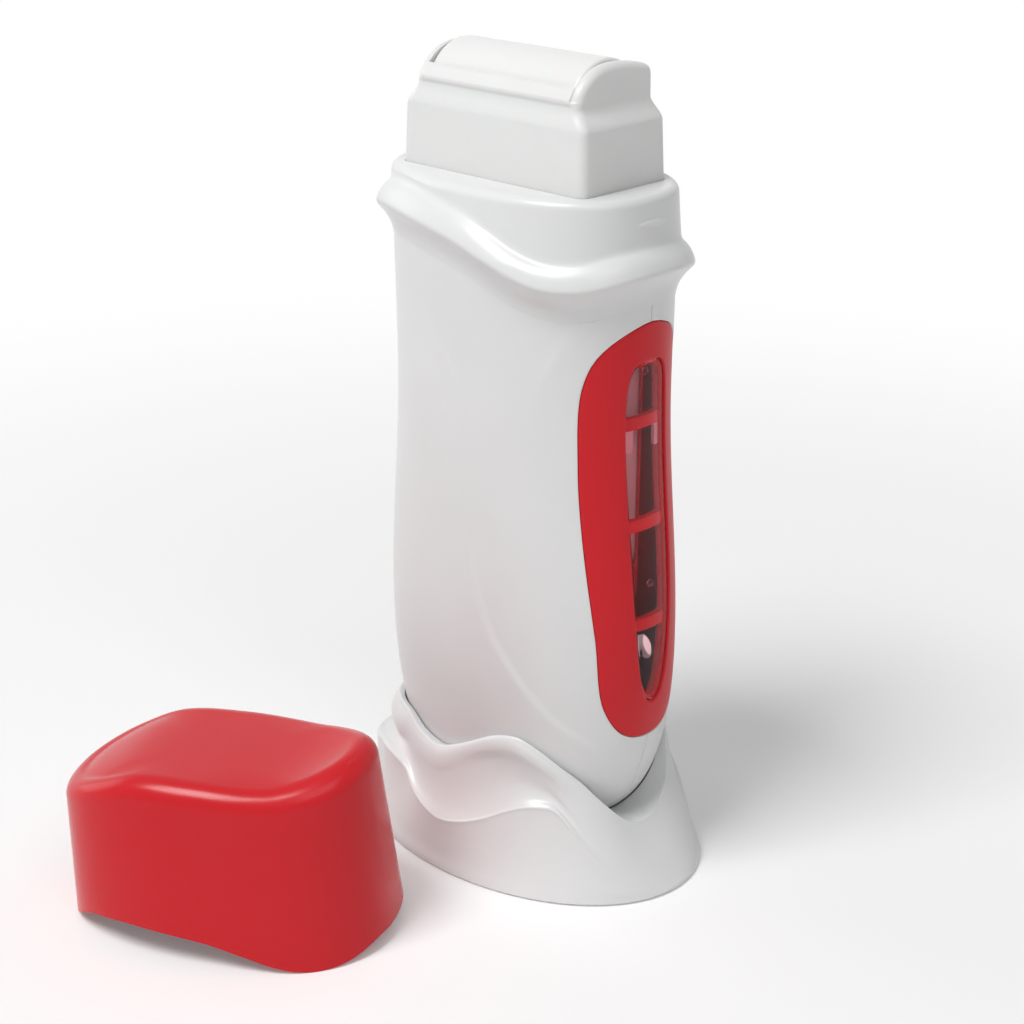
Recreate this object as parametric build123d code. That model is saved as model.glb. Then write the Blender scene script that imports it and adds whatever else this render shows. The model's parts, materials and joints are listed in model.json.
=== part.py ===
# Roll-on wax warmer: docking stand, heated handpiece, wax cartridge with a roller head, lift-off cap.
# Millimetres. The origin is the middle of the stand's resting face and +Z is up.
# The broad faces look along -Y and +Y, and the window is on the narrow side at +X.
from build123d import *
import math
import os

# Fits
lift_gap = 0.3
seam_gap = 0.1
running_gap = 0.06
screw_gap = 0.15

# Casing of the handpiece, given by its half sizes at three heights
casing_wall = 1.6
casing_fullness = 2.2
casing_bottom = 9.0
casing_floor = 3.0
egg_bottom = 8.0
egg_power = 2.2
egg_width_roundness = 4.0
egg_depth_roundness = 6.0
belly_height = 55.0
belly_half_width = 37.0
belly_half_depth = 22.5
waist_height = 112.0
waist_half_width = 33.5
waist_half_depth = 22.2
shoulder_height = 142.0
shoulder_half_width = 33.7
shoulder_half_depth = 22.6

# Neck above the collar
neck_fullness = 2.5
neck_top = 154.9
neck_half_width = 33.4
neck_half_depth = 21.5
neck_wall = 2.0
neck_deck = 2.5
neck_edge_radius = 1.8
snap_length = 8.0
snap_height = 1.6
snap_reach = 0.45
snap_centre = 149.2

# Wavy collar, seen from the front: height of its crest along the width
collar_low = 137.4
collar_depth = 10.2
collar_reach = 3.7
collar_undercut = 7.3
ledge_rise = 5.0
ledge_width = 0.45
collar_shape = [(-1.0, 0.47), (-0.8, 0.90), (-0.6, 1.0), (-0.38, 0.97), (0.02, 0.75), (0.25, 0.49),
                (0.43, 0.23), (0.58, 0.06), (0.72, 0.0), (0.86, 0.05), (1.0, 0.23)]
spigot_length = 6.0
spigot_wall = 1.2

# Window in the narrow side
frame_bottom = 35.7
frame_height = 93.1
frame_half_width = 14.3
frame_skin = 1.5
frame_rim = 3.0
frame_shape = [(0.0, 1.0), (0.50, 0.978), (0.80, 0.937), (0.95, 0.873), (1.0, 0.69), (0.98, 0.476),
               (0.90, 0.277), (0.776, 0.091), (0.476, 0.019), (0.0, 0.0)]
frame_tab_width = 9.0
frame_tab_reach = 3.0
lens_bottom = 44.2
lens_height = 76.3
lens_half_width = 5.9
lens_thickness = 1.2
lens_depth = 0.4
lens_ledge = 1.1
lens_widest = 0.666
lens_top_fullness = 5.0
lens_bottom_fullness = 2.6
rib_count = 3
rib_height = 2.6
rib_bottom = 61.3
rib_pitch = 22.3

# Wax cartridge, from its own bottom
cartridge_half_width = 26.0
cartridge_half_depth = 12.9
cartridge_corner = 2.0
cartridge_wall = 1.2
cartridge_straight = 93.0
cartridge_height = 106.2
cartridge_taper = 0.45
wax_height = 88.0
head_shoulder = 3.4
head_half_width = 23.5
head_half_depth = 12.0
head_ridge = 5.6
head_corner = 2.0
head_dome = 10.9
lip_height = 7.9
lip_half_depth = 9.4
head_edge_radius = 1.8
cheek_back_depth = 11.4
cheek_corner = 2.4
plug_length = 6.0

# Applicator roller
roller_radius = 11.0
roller_half_length = 20.3
roller_centre = 1.8
roller_gap = 0.35
roller_edge = 0.6
pin_radius = 1.6
pin_length = 6.0
pin_depth = 1.6

# Heated chamber
sleeve_wall = 0.8
sleeve_margin = 0.6
sleeve_slot_half_width = 5.0
sleeve_slot_length = 56.0
shelf_height = 56.8
shelf_thickness = 2.2
shelf_opening_half_width = 20.0
shelf_opening_half_depth = 9.0
floor_thickness = 2.0
floor_rib_height = 2.1
floor_rib_width = 2.0
heater_width = 30.0
heater_height = 40.0
heater_thickness = 2.4
heater_bottom = 28.0
clamp_width = 16.0
clamp_thickness = 0.5
clamp_foot = 5.0
clamp_reach = 4.0
thermostat_radius = 6.0
thermostat_height = 4.2
thermostat_x = -9.5
sensor_height = 11.4
fuse_radius = 2.0
fuse_length = 13.0
fuse_x = 10.5
fuse_lead_radius = 0.5
fuse_lead_length = 4.0

# Plug contacts between stand and handpiece
contact_half_pitch = 6.0
contact_pin_radius = 1.4
contact_pin_height = 6.4
contact_pin_tail = 1.1
contact_gap = 0.35
sleeve_contact_wall = 0.4
socket_half_width = 11.0
socket_half_depth = 5.5
socket_height = 11.0
socket_flange = 2.0
socket_flange_thickness = 1.8
socket_blind = 1.5

# Wires
wire_radius = 0.8
wire_bend = 5.0
wire_slot_half_width = 2.0

# Screws that hold the casing's halves together
screw_places = [(-17.0, 29.0), (17.0, 29.0), (-19.0, 45.0), (19.0, 45.0)]
screw_radius = 1.3
screw_head_radius = 2.6
screw_head_height = 1.8
screw_recess = 12.5
screw_bite = 8.0
boss_wall = 1.7
boss_end = 2.0

# Docking stand
base_half_width = 45.1
base_half_depth = 31.3
skirt_half_width = 43.9
skirt_half_depth = 30.3
skirt_lean = 0.34
stand_fullness = 2.1
stand_edge = 1.2
stand_wall = 2.2
stand_cavity_top = 12.5
cradle_gap = 0.4
cradle_floor = 3.0
cradle_wall = 1.7
rim_reach = 2.4
rim_low = 25.8
rim_shape = [(-1.0, 5.4), (-0.8, 5.2), (-0.55, 2.8), (-0.4, 0.5), (-0.19, -0.3), (-0.055, 1.4),
             (0.093, 4.5), (0.267, 8.1), (0.42, 9.3), (0.55, 7.6), (0.70, 3.9), (0.83, -0.2),
             (0.93, -6.0), (1.0, -12.0)]
lip_low = 19.2
lip_shape = [(-1.0, 8.4), (-0.8, 8.2), (-0.62, 5.6), (-0.47, 1.2), (-0.3, -0.2), (-0.17, 1.2),
             (0.02, 5.0), (0.2, 9.0), (0.4, 11.2), (0.54, 10.4), (0.69, 7.4), (0.81, 3.4),
             (0.94, -4.2), (1.0, -8.6)]
ridge_low = 10.9
ridge_shape = [(-1.0, 7.5), (-0.8, 9.5), (-0.66, 11.4), (-0.44, 8.2), (-0.32, 3.6), (-0.21, 1.3), (-0.05, 0.0),
               (0.1, 1.3), (0.26, 4.0), (0.41, 7.2), (0.54, 9.0), (0.67, 8.8), (0.79, 6.0),
               (0.89, 2.3), (1.0, -2.0)]
plate_thickness = 1.8
plate_gap = 0.15
pad_radius = 4.0
pad_depth = 0.9
pad_places = [(-28.0, -14.0), (28.0, -14.0), (-28.0, 14.0), (28.0, 14.0)]
base_screw_places = [(-34.0, 0.0), (34.0, 0.0), (0.0, -22.5), (-12.0, 22.0)]
base_screw_length = 7.0
block_half_width = 13.0
block_half_depth = 7.0
block_flange = 2.5
block_flange_thickness = 2.0
gland_height = 7.6
gland_radius = 4.6
gland_bore = 3.0
gland_inner = 24.9
gland_outer = 29.4
gland_flange = 1.2
gland_flange_thickness = 1.4
terminal_size = (11.0, 6.0, 5.0)
terminal_place = (13.5, 20.2)

# Cap, taken off and standing beside the stand
cap_half_width = 36.3
cap_half_depth = 25.4
cap_top_half_width = 35.0
cap_top_half_depth = 19.8
cap_fullness = 2.35
cap_draft_height = 40.0
cap_wall = 1.6
cap_roof = 1.4
cap_edge_radius = 4.3
cap_roof_rise = 39.8
cap_roof_shape = [(-1.0, -3.6), (-0.7, 0.0), (-0.42, 2.3), (0.0, 1.6), (0.5, 0.0), (0.75, 0.7), (1.0, 2.6)]
cap_turn = 32.0
cap_place = (-19.0, -71.5)
cap_settle = -4.4

pieces = {}


def shape_height(share, shape):
    """Height of a wave at a share of the half width, on a smooth curve through its key points."""
    share = max(shape[0][0], min(shape[-1][0], share))
    last = len(shape) - 1
    i = max(k for k in range(last) if shape[k][0] <= share or k == 0)
    slopes = []
    for k in (i, i + 1):
        before = shape[max(k - 1, 0)]
        after = shape[min(k + 1, last)]
        slopes.append((after[1] - before[1]) / (after[0] - before[0]))
    span = shape[i + 1][0] - shape[i][0]
    t = (share - shape[i][0]) / span
    rise = shape[i + 1][1] - shape[i][1]
    return (shape[i][1] + t * span * slopes[0] + t * t * (3 * rise - span * (2 * slopes[0] + slopes[1]))
            + t ** 3 * (span * (slopes[0] + slopes[1]) - 2 * rise))


def blend(start, end, t):
    """Half a cosine wave from start to end."""
    return start + (end - start) * (1 - math.cos(math.pi * t)) / 2


def casing_size(z):
    """Half width and half depth of the casing at a height."""
    if z < belly_height:
        drop = 1 - ((belly_height - z) / (belly_height - egg_bottom)) ** egg_power
        return (belly_half_width * drop ** (1 / egg_width_roundness),
                belly_half_depth * drop ** (1 / egg_depth_roundness))
    if z < waist_height:
        t = (z - belly_height) / (waist_height - belly_height)
        return blend(belly_half_width, waist_half_width, t), blend(belly_half_depth, waist_half_depth, t)
    t = min((z - waist_height) / (shoulder_height - waist_height), 1.0)
    return blend(waist_half_width, shoulder_half_width, t), blend(waist_half_depth, shoulder_half_depth, t)


def neck_size(z):
    """Half width and half depth of the neck's wall at a height."""
    t = min(max((z - shoulder_height) / (neck_top - shoulder_height), 0.0), 1.0)
    return (shoulder_half_width + (neck_half_width - shoulder_half_width) * t,
            shoulder_half_depth + (neck_half_depth - shoulder_half_depth) * t)


def stand_size(z):
    """Half width and half depth of the stand's skirt at a height."""
    lean = skirt_lean * z
    return skirt_half_width - lean, skirt_half_depth - lean * skirt_half_depth / skirt_half_width


def grown(size, outset):
    """A size function with the same outset on both half sizes."""
    return lambda z: tuple(half + outset for half in size(z))


def oval_point(size, fullness, height, degrees):
    """Point of an oval ring. Its height may change along X, and its size with the height."""
    c = math.cos(math.radians(degrees))
    s = math.sin(math.radians(degrees))
    share = math.copysign(abs(c) ** (2 / fullness), c)
    z = height(share) if callable(height) else height
    half_width, half_depth = size(z)
    return Vector(half_width * share, half_depth * math.copysign(abs(s) ** (2 / fullness), s), z)


def ring(size, fullness, height, step=15):
    """Closed oval wire of four quarters."""
    quarters = []
    for quarter in range(4):
        angles = [90 * quarter + k for k in range(0, 91, step)]
        points = [oval_point(size, fullness, height, a) for a in angles]
        ways = []
        for a in (angles[0], angles[-1]):
            way = oval_point(size, fullness, height, a + 0.5) - oval_point(size, fullness, height, a - 0.5)
            ways.append(way.normalized())
        quarters.append(Edge.make_spline(points, tangents=ways))
    return Wire(quarters)


def fixed(half_width, half_depth):
    """A size function that doesn't change with the height."""
    return lambda z: (half_width, half_depth)


def casing_form(outset, drop=0.0, bottom=casing_bottom, top=None):
    """Solid with the casing's outer form, grown by an outset and moved down by a drop."""
    top = shoulder_height + 8 if top is None else top
    steps = [0.0, 0.02, 0.055, 0.1, 0.17, 0.27, 0.4, 0.6, 0.8, 1.0]
    heights = [bottom + (belly_height - bottom) * t for t in steps]
    upper = (top - belly_height) / 6
    heights += [belly_height + upper * k for k in range(1, 7)]
    rings = [ring(lambda _, z=z: grown(casing_size, outset)(z), casing_fullness, z - drop) for z in heights]
    return Solid.make_loft(rings)


def prism(points, depth, plane):
    """Straight prism on a closed outline."""
    return extrude(plane * make_face(Polyline(*points, close=True)), depth)


def slab(low, high):
    """Box between two corners."""
    size = [b - a for a, b in zip(low, high)]
    middle = [(a + b) / 2 for a, b in zip(low, high)]
    return Pos(*middle) * Box(*size)


def round_bar(half_width, half_depth, corner, bottom, top):
    """Upright bar with rounded corners."""
    outline = RectangleRounded(2 * half_width, 2 * half_depth, corner)
    return Pos(0, 0, bottom) * extrude(outline, top - bottom)


def rod(start, radius, length, axis):
    """Round rod from a point along an axis."""
    return Plane(origin=start, z_dir=axis) * Cylinder(radius, length, align=(Align.CENTER, Align.CENTER, Align.MIN))


def save(name, shape):
    """Keep a piece under its node's name."""
    pieces[name] = shape


def collar_crest(share):
    return collar_low + collar_depth * shape_height(share, collar_shape)


def rim_height(share):
    return rim_low + shape_height(share, rim_shape)


def lip_line(share):
    return lip_low + shape_height(share, lip_shape)


def ridge_line(share):
    return ridge_low + shape_height(share, ridge_shape)


def joint_cut(gap):
    """Everything above the wavy line where the casing meets the collar, lowered by a gap."""
    half = shoulder_half_width
    low = -collar_undercut - gap
    points = [(half * k / 8, collar_crest(k / 8) + low) for k in range(-8, 9)]
    wave = Spline(*points)
    reach = half + 10
    lines = Polyline(points[-1], (reach, points[-1][1]), (reach, neck_top + 20), (-reach, neck_top + 20),
                     (-reach, points[0][1]), points[0])
    face = Plane.XZ * make_face([wave, lines])
    return Pos(0, reach, 0) * extrude(face, 2 * reach)


def side_outline(shape, half_width, bottom, height, grow=0.0, reach=60.0):
    """Prism along +X on an oval outline of the narrow side."""
    half_width += grow
    bottom -= grow
    height += 2 * grow
    right = [(0, half_width * w, bottom + height * h) for w, h in shape]
    left = [(x, -y, z) for x, y, z in right]
    edges = [Edge.make_spline(right, tangents=[(0, 1, 0), (0, -1, 0)], scale=False),
             Edge.make_spline(left, tangents=[(0, -1, 0), (0, 1, 0)], scale=False)]
    return extrude(Face(Wire(edges)), reach, dir=(1, 0, 0))


def lens_outline():
    """Shares of the half width and of the height down the lens's outline."""
    points = []
    for degrees in range(90, -91, -15):
        fullness = lens_top_fullness if degrees > 0 else lens_bottom_fullness
        reach = 1 - lens_widest if degrees > 0 else lens_widest
        turn = math.radians(abs(degrees))
        rise = math.copysign(reach * math.sin(turn) ** (2 / fullness), degrees)
        points.append((max(math.cos(turn), 0.0) ** (2 / fullness) if abs(degrees) < 90 else 0.0, lens_widest + rise))
    return points


def frame_prism(grow=0.0):
    return side_outline(frame_shape, frame_half_width, frame_bottom, frame_height, grow)


def lens_prism(grow=0.0):
    return side_outline(lens_outline(), lens_half_width, lens_bottom, lens_height, grow)


# Heights that several pieces share
chamber_bottom = shelf_height
cartridge_bottom = chamber_bottom + floor_thickness + floor_rib_height + lift_gap
cartridge_top = cartridge_bottom + cartridge_height
sleeve_half_width = cartridge_half_width + lift_gap
sleeve_half_depth = cartridge_half_depth + lift_gap
sleeve_corner = cartridge_corner + lift_gap
sleeve_face = sleeve_half_depth + sleeve_wall
sleeve_top = neck_top - neck_deck - sleeve_margin
roller_axis = cartridge_top + roller_centre
cradle_top = casing_bottom - cradle_gap
ledge_low = collar_low + ledge_rise


def make_casing():
    """Front and rear shells, split at the seam, with shelf, bosses, window and plug opening."""
    outer = casing_form(0.0)
    inner = casing_form(-casing_wall, bottom=casing_bottom + casing_floor)
    body = outer - inner
    shelf_bottom = shelf_height - shelf_thickness
    shelf = casing_form(-casing_wall / 2) & slab((-50, -50, shelf_bottom), (50, 50, shelf_height))
    shelf_holes = [slab((-shelf_opening_half_width, -shelf_opening_half_depth, shelf_bottom - 1),
                        (shelf_opening_half_width, shelf_opening_half_depth, shelf_height + 1))]
    for x, side in wire_columns():
        middle = side * (sleeve_face + 0.1 + 2 * wire_radius)
        shelf_holes.append(slab((x - wire_slot_half_width, middle - 2 * wire_radius, shelf_bottom - 1),
                                (x + wire_slot_half_width, middle + 2 * wire_radius, shelf_height + 1)))
    bosses = [rod((x, -belly_half_depth, z), screw_radius + boss_wall, 2 * belly_half_depth, (0, 1, 0))
              for x, z in screw_places]
    body += [shelf - shelf_holes, casing_form(-casing_wall / 2) & Compound(children=bosses)]
    cuts = [joint_cut(0.0), frame_prism(seam_gap),
            slab((-socket_half_width - seam_gap, -socket_half_depth - seam_gap, 0),
                 (socket_half_width + seam_gap, socket_half_depth + seam_gap, casing_bottom + casing_floor + 1))]
    for x, z in screw_places:
        cuts.append(rod((x, screw_recess, z), screw_head_radius + screw_gap, belly_half_depth, (0, 1, 0)))
        cuts.append(rod((x, -screw_bite - boss_end, z), screw_radius + screw_gap, 2 * belly_half_depth, (0, 1, 0)))
    body -= cuts
    half = slab((-60, -60, -10), (60, -seam_gap / 2, 200))
    front = body & half
    rear = body & mirror(half, Plane.XZ)
    save("front_shell", front)
    save("rear_shell", rear)
    shank = screw_recess + screw_bite
    screws = []
    for x, z in screw_places:
        head = rod((x, screw_recess, z), screw_head_radius, screw_head_height, (0, 1, 0))
        cross = slab((x - 1.6, screw_recess + screw_head_height - 0.8, z - 0.3),
                     (x + 1.6, screw_recess + screw_head_height + 1, z + 0.3))
        cross += slab((x - 0.3, screw_recess + screw_head_height - 0.8, z - 1.6),
                      (x + 0.3, screw_recess + screw_head_height + 1, z + 1.6))
        screws.append(head + rod((x, screw_recess, z), screw_radius, shank, (0, -1, 0)) - cross)
    save("shell_screws", Compound(children=screws))


def make_collar():
    """Neck and wavy collar in one piece, with a deck round the cartridge and locating tabs below."""
    undercut = [(0.0, 0.0), (0.25, 0.04), (0.5, 0.2), (0.7, 0.46), (0.86, 0.76), (0.96, 0.95), (1.0, 1.0)]
    profile = [(-collar_undercut * (1 - t), collar_reach * out) for t, out in undercut]
    slope = collar_reach - ledge_width
    profile += [(0.25 * ledge_rise, collar_reach - 0.1 * slope), (0.8 * ledge_rise, ledge_width + 0.25 * slope),
                (0.97 * ledge_rise, ledge_width * 0.9), (ledge_rise, ledge_width * 0.5),
                (ledge_rise + 0.15, ledge_width * 0.1)]
    rings = [ring(casing_size, casing_fullness, collar_low - collar_undercut - 8)]
    for rise, out in profile:
        t = (rise + collar_undercut) / (ledge_rise + collar_undercut)
        fullness = casing_fullness + (neck_fullness - casing_fullness) * t
        rings.append(ring(grown(neck_size, out), fullness, lambda share, rise=rise: collar_crest(share) + rise))
    rings.append(ring(neck_size, neck_fullness, neck_top - neck_edge_radius))
    for degrees in (35, 65, 90):
        turn = math.radians(degrees)
        inset = neck_edge_radius * (1 - math.cos(turn))
        z = neck_top - neck_edge_radius * (1 - math.sin(turn))
        rings.append(ring(grown(neck_size, -inset), neck_fullness, z))
    outer = Solid.make_loft(rings, ruled=True)
    inner_bottom = collar_low - collar_undercut - 20
    inner = Solid.make_loft([ring(grown(neck_size, -neck_wall), neck_fullness, z)
                             for z in (inner_bottom, shoulder_height, neck_top - neck_deck)], ruled=True)
    body = (outer - inner) & joint_cut(-seam_gap)
    inset = casing_wall + seam_gap
    tabs = casing_form(-inset) - casing_form(-inset - spigot_wall)
    tabs &= joint_cut(spigot_length)
    tabs -= slab((-60, -60, shoulder_height + 2), (60, 60, 200))
    broad = slab((-16, -60, 0), (16, 60, 200))
    narrow = slab((-60, -6.5, 0), (0, 6.5, 200))
    body += tabs & (broad + narrow)
    body -= round_bar(sleeve_half_width + seam_gap, sleeve_half_depth + seam_gap, sleeve_corner + seam_gap,
                      sleeve_top - 20, neck_top + 5)
    bump_size = neck_size(snap_centre)
    bump = scale(Sphere(1), by=(snap_reach + 0.15, snap_length / 2, snap_height / 2))
    body += Pos(bump_size[0] - 0.15, 0, snap_centre) * bump
    save("neck_collar", body)


def make_window():
    """Frame with its cross ribs and end tabs, and the clear lens in its pocket."""
    top = frame_bottom + frame_height
    half_tab = frame_tab_width / 2
    side = slab((18, -18, frame_bottom - 8), (60, 18, top + 8))

    def form(depth):
        return casing_form(-depth) & side

    tabs = slab((20, -half_tab, lens_bottom + lens_height + 2), (60, half_tab, top + frame_tab_reach))
    tabs += slab((20, -half_tab, frame_bottom - frame_tab_reach), (60, half_tab, lens_bottom - 2))
    ledge = form(frame_skin) & lens_prism(lens_ledge + 1.0)
    backing = form(casing_wall + seam_gap) & tabs
    frame = (form(0.0) & frame_prism()) - form(frame_skin)
    frame += [ledge - form(frame_rim), backing - form(frame_rim)]
    frame -= lens_prism(seam_gap) - form(lens_depth + lens_thickness + running_gap)
    ribs = [slab((0, -20, rib_bottom + rib_pitch * k), (60, 20, rib_bottom + rib_pitch * k + rib_height))
            for k in range(rib_count)]
    frame -= lens_prism(-lens_ledge) - ribs
    save("window_frame", frame)
    lens = (form(lens_depth) & lens_prism()) - form(lens_depth + lens_thickness)
    save("window_lens", lens)


def make_cartridge():
    """Cartridge tub with its wax, the head with two cheeks, the roller and its stub axles."""
    bottom = cartridge_bottom
    straight = bottom + cartridge_straight
    top = cartridge_top

    def section(inset, z, lean):
        outline = RectangleRounded(2 * (cartridge_half_width - inset - lean), 2 * (cartridge_half_depth - inset - lean),
                                   cartridge_corner - inset)
        return Pos(0, 0, z) * outline

    outer = extrude(section(0, bottom, 0), cartridge_straight)
    outer += loft([section(0, straight, 0), section(0, top, cartridge_taper)])
    hollow = extrude(section(cartridge_wall, bottom + cartridge_wall, 0), cartridge_straight - cartridge_wall)
    hollow += loft([section(cartridge_wall, straight, 0), section(cartridge_wall, top, cartridge_taper)])
    tub = fillet(outer.edges().group_by(Axis.Z)[0], 1.2) - hollow
    save("cartridge_body", tub)
    wax = extrude(section(cartridge_wall, bottom + cartridge_wall, 0), wax_height)
    save("wax_fill", wax)

    def rim(half_width, half_depth, z, corner=head_corner):
        return Pos(0, 0, z) * RectangleRounded(2 * half_width, 2 * half_depth, corner)

    edge_width = cartridge_half_width - cartridge_taper
    edge_depth = cartridge_half_depth - cartridge_taper
    shoulder_depth = (edge_depth + head_half_depth) / 2
    head = loft([rim(edge_width, edge_depth, top, cartridge_corner),
                 rim(head_half_width, shoulder_depth, top + head_shoulder)], ruled=True)
    head += loft([rim(head_half_width, shoulder_depth, top + head_shoulder),
                  rim(head_half_width, head_half_depth, top + head_ridge)], ruled=True)
    dome_rise = head_dome - head_shoulder
    front_arch = Pos(-head_half_depth / 2, dome_rise / 2) * Rectangle(head_half_depth, dome_rise)
    front_arch &= Ellipse(head_half_depth, dome_rise)
    back = Pos(cheek_back_depth / 2, dome_rise / 2) * Rectangle(cheek_back_depth, dome_rise)
    back = fillet(back.vertices().sort_by(lambda v: v.X + v.Y)[-1], cheek_corner)
    cheeks = extrude(Plane.YZ * (front_arch + back), 2 * head_half_width)
    ends = cheeks.faces().sort_by(Axis.X)
    outer_edges = [e for face in (ends[0], ends[-1]) for e in face.edges() if e.center().Z > 0.1]
    cheeks = Pos(-head_half_width, 0, top + head_shoulder) * fillet(outer_edges, head_edge_radius)
    inside = roller_half_length + roller_gap
    cheeks -= slab((-inside, -50, top), (inside, 50, top + 60))
    lip = prism([(-head_half_depth, top + head_ridge - 2), (head_half_depth, top + head_ridge - 2),
                 (head_half_depth, top + head_ridge), (lip_half_depth, top + lip_height),
                 (-lip_half_depth, top + lip_height), (-head_half_depth, top + head_ridge)], inside + 0.5, Plane.YZ)
    head += cheeks + lip + mirror(lip, Plane.YZ)
    plug = section(cartridge_wall + seam_gap, top - plug_length, cartridge_taper)
    head += extrude(plug, plug_length)
    pocket = rod((-inside, 0, roller_axis), roller_radius + roller_gap, 2 * inside, (1, 0, 0))
    head -= pocket
    head -= slab((-inside, -cartridge_half_depth, top - plug_length - 1), (inside, cartridge_half_depth, top))
    bore_reach = inside + pin_depth
    head -= rod((-bore_reach, 0, roller_axis), pin_radius + running_gap, 2 * bore_reach, (1, 0, 0))
    save("cartridge_head", head)

    roller = rod((-roller_half_length, 0, roller_axis), roller_radius, 2 * roller_half_length, (1, 0, 0))
    roller = fillet(roller.edges(), roller_edge)
    pin_start = roller_half_length + roller_gap + pin_depth - running_gap - pin_length
    pins = []
    for side in (-1, 1):
        start = (side * pin_start, 0, roller_axis)
        roller -= rod(start, pin_radius, pin_length, (side, 0, 0))
        pins.append(rod(start, pin_radius, pin_length, (side, 0, 0)))
    save("roller", roller)
    save("roller_pins", Compound(children=pins))


def wire_columns():
    """X place and side of the two wires that climb beside the sleeve."""
    return [(-contact_half_pitch, -1), (contact_half_pitch - 2, 1)]


def wire(points, radius=wire_radius, bend=wire_bend):
    """Round wire along straight runs joined by arcs."""
    path = FilletPolyline(*points, radius=bend) if len(points) > 2 else Line(*points)
    start = Plane(origin=path @ 0, z_dir=path % 0)
    return sweep(start * Circle(radius), path)


def make_chamber():
    """Sleeve round the cartridge, its floor, heating elements, springs, thermostat, fuse and wires."""
    sleeve = round_bar(sleeve_half_width + sleeve_wall, sleeve_face, sleeve_corner + sleeve_wall,
                       chamber_bottom, sleeve_top)
    sleeve -= round_bar(sleeve_half_width, sleeve_half_depth, sleeve_corner, chamber_bottom - 1, sleeve_top + 1)
    slot = slab((sleeve_half_width - 2, -sleeve_slot_half_width, rib_bottom),
                (sleeve_half_width + 5, sleeve_slot_half_width, rib_bottom + sleeve_slot_length))
    save("heater_sleeve", sleeve - slot)

    floor = round_bar(sleeve_half_width - seam_gap, sleeve_half_depth - seam_gap, sleeve_corner - seam_gap,
                      chamber_bottom, chamber_bottom + floor_thickness)
    for x in (-15, 0, 15):
        floor += slab((x - floor_rib_width / 2, -9, chamber_bottom + floor_thickness),
                      (x + floor_rib_width / 2, 9, chamber_bottom + floor_thickness + floor_rib_height))
    save("chamber_floor", floor)

    low = chamber_bottom + heater_bottom
    high = low + heater_height
    face = sleeve_face
    outer = face + heater_thickness
    near = face + seam_gap
    for name, side in (("front", -1), ("rear", 1)):
        element = slab((-heater_width / 2, face, low), (heater_width / 2, outer, high))
        strip = [(near, low - clamp_reach - clamp_foot), (near, low - clamp_reach),
                 (outer + seam_gap, low - 0.5), (outer + seam_gap, high + 0.5),
                 (near, high + clamp_reach), (near, high + clamp_reach + clamp_foot)]
        back = [(y + clamp_thickness, z) for y, z in reversed(strip)]
        spring = Pos(-clamp_width / 2, 0, 0) * prism(strip + back, clamp_width, Plane.YZ)
        if side < 0:
            element = mirror(element, Plane.XZ)
            spring = mirror(spring, Plane.XZ)
        save("heater_" + name, element)
        save("heater_clamp_" + name, spring)

    z = chamber_bottom + sensor_height
    can = rod((thermostat_x, face, z), thermostat_radius, thermostat_height, (0, 1, 0))
    can += rod((thermostat_x, face, z), thermostat_radius + 1.0, 1.0, (0, 1, 0))
    save("thermostat", can)
    fuse = rod((fuse_x, face + fuse_radius + seam_gap, z - fuse_length / 2), fuse_radius, fuse_length, (0, 0, 1))
    fuse = fillet(fuse.edges(), 0.6)
    fuse += rod((fuse_x, face + fuse_radius + seam_gap, z - fuse_length / 2 - fuse_lead_length), fuse_lead_radius,
                fuse_length + 2 * fuse_lead_length, (0, 0, 1))
    save("thermal_fuse", fuse)

    wires = []
    start_z = casing_bottom + socket_height + seam_gap
    for (x, side), start_x in zip(wire_columns(), (-contact_half_pitch, contact_half_pitch)):
        y = side * (face + seam_gap + wire_radius + 0.3)
        wires.append(wire([(start_x, 0, start_z), (start_x, 0, start_z + 10), (x, y, shelf_height - 9),
                           (x, y, low - clamp_reach - clamp_foot - 8)]))
    save("heater_wires", Compound(children=wires))


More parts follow.
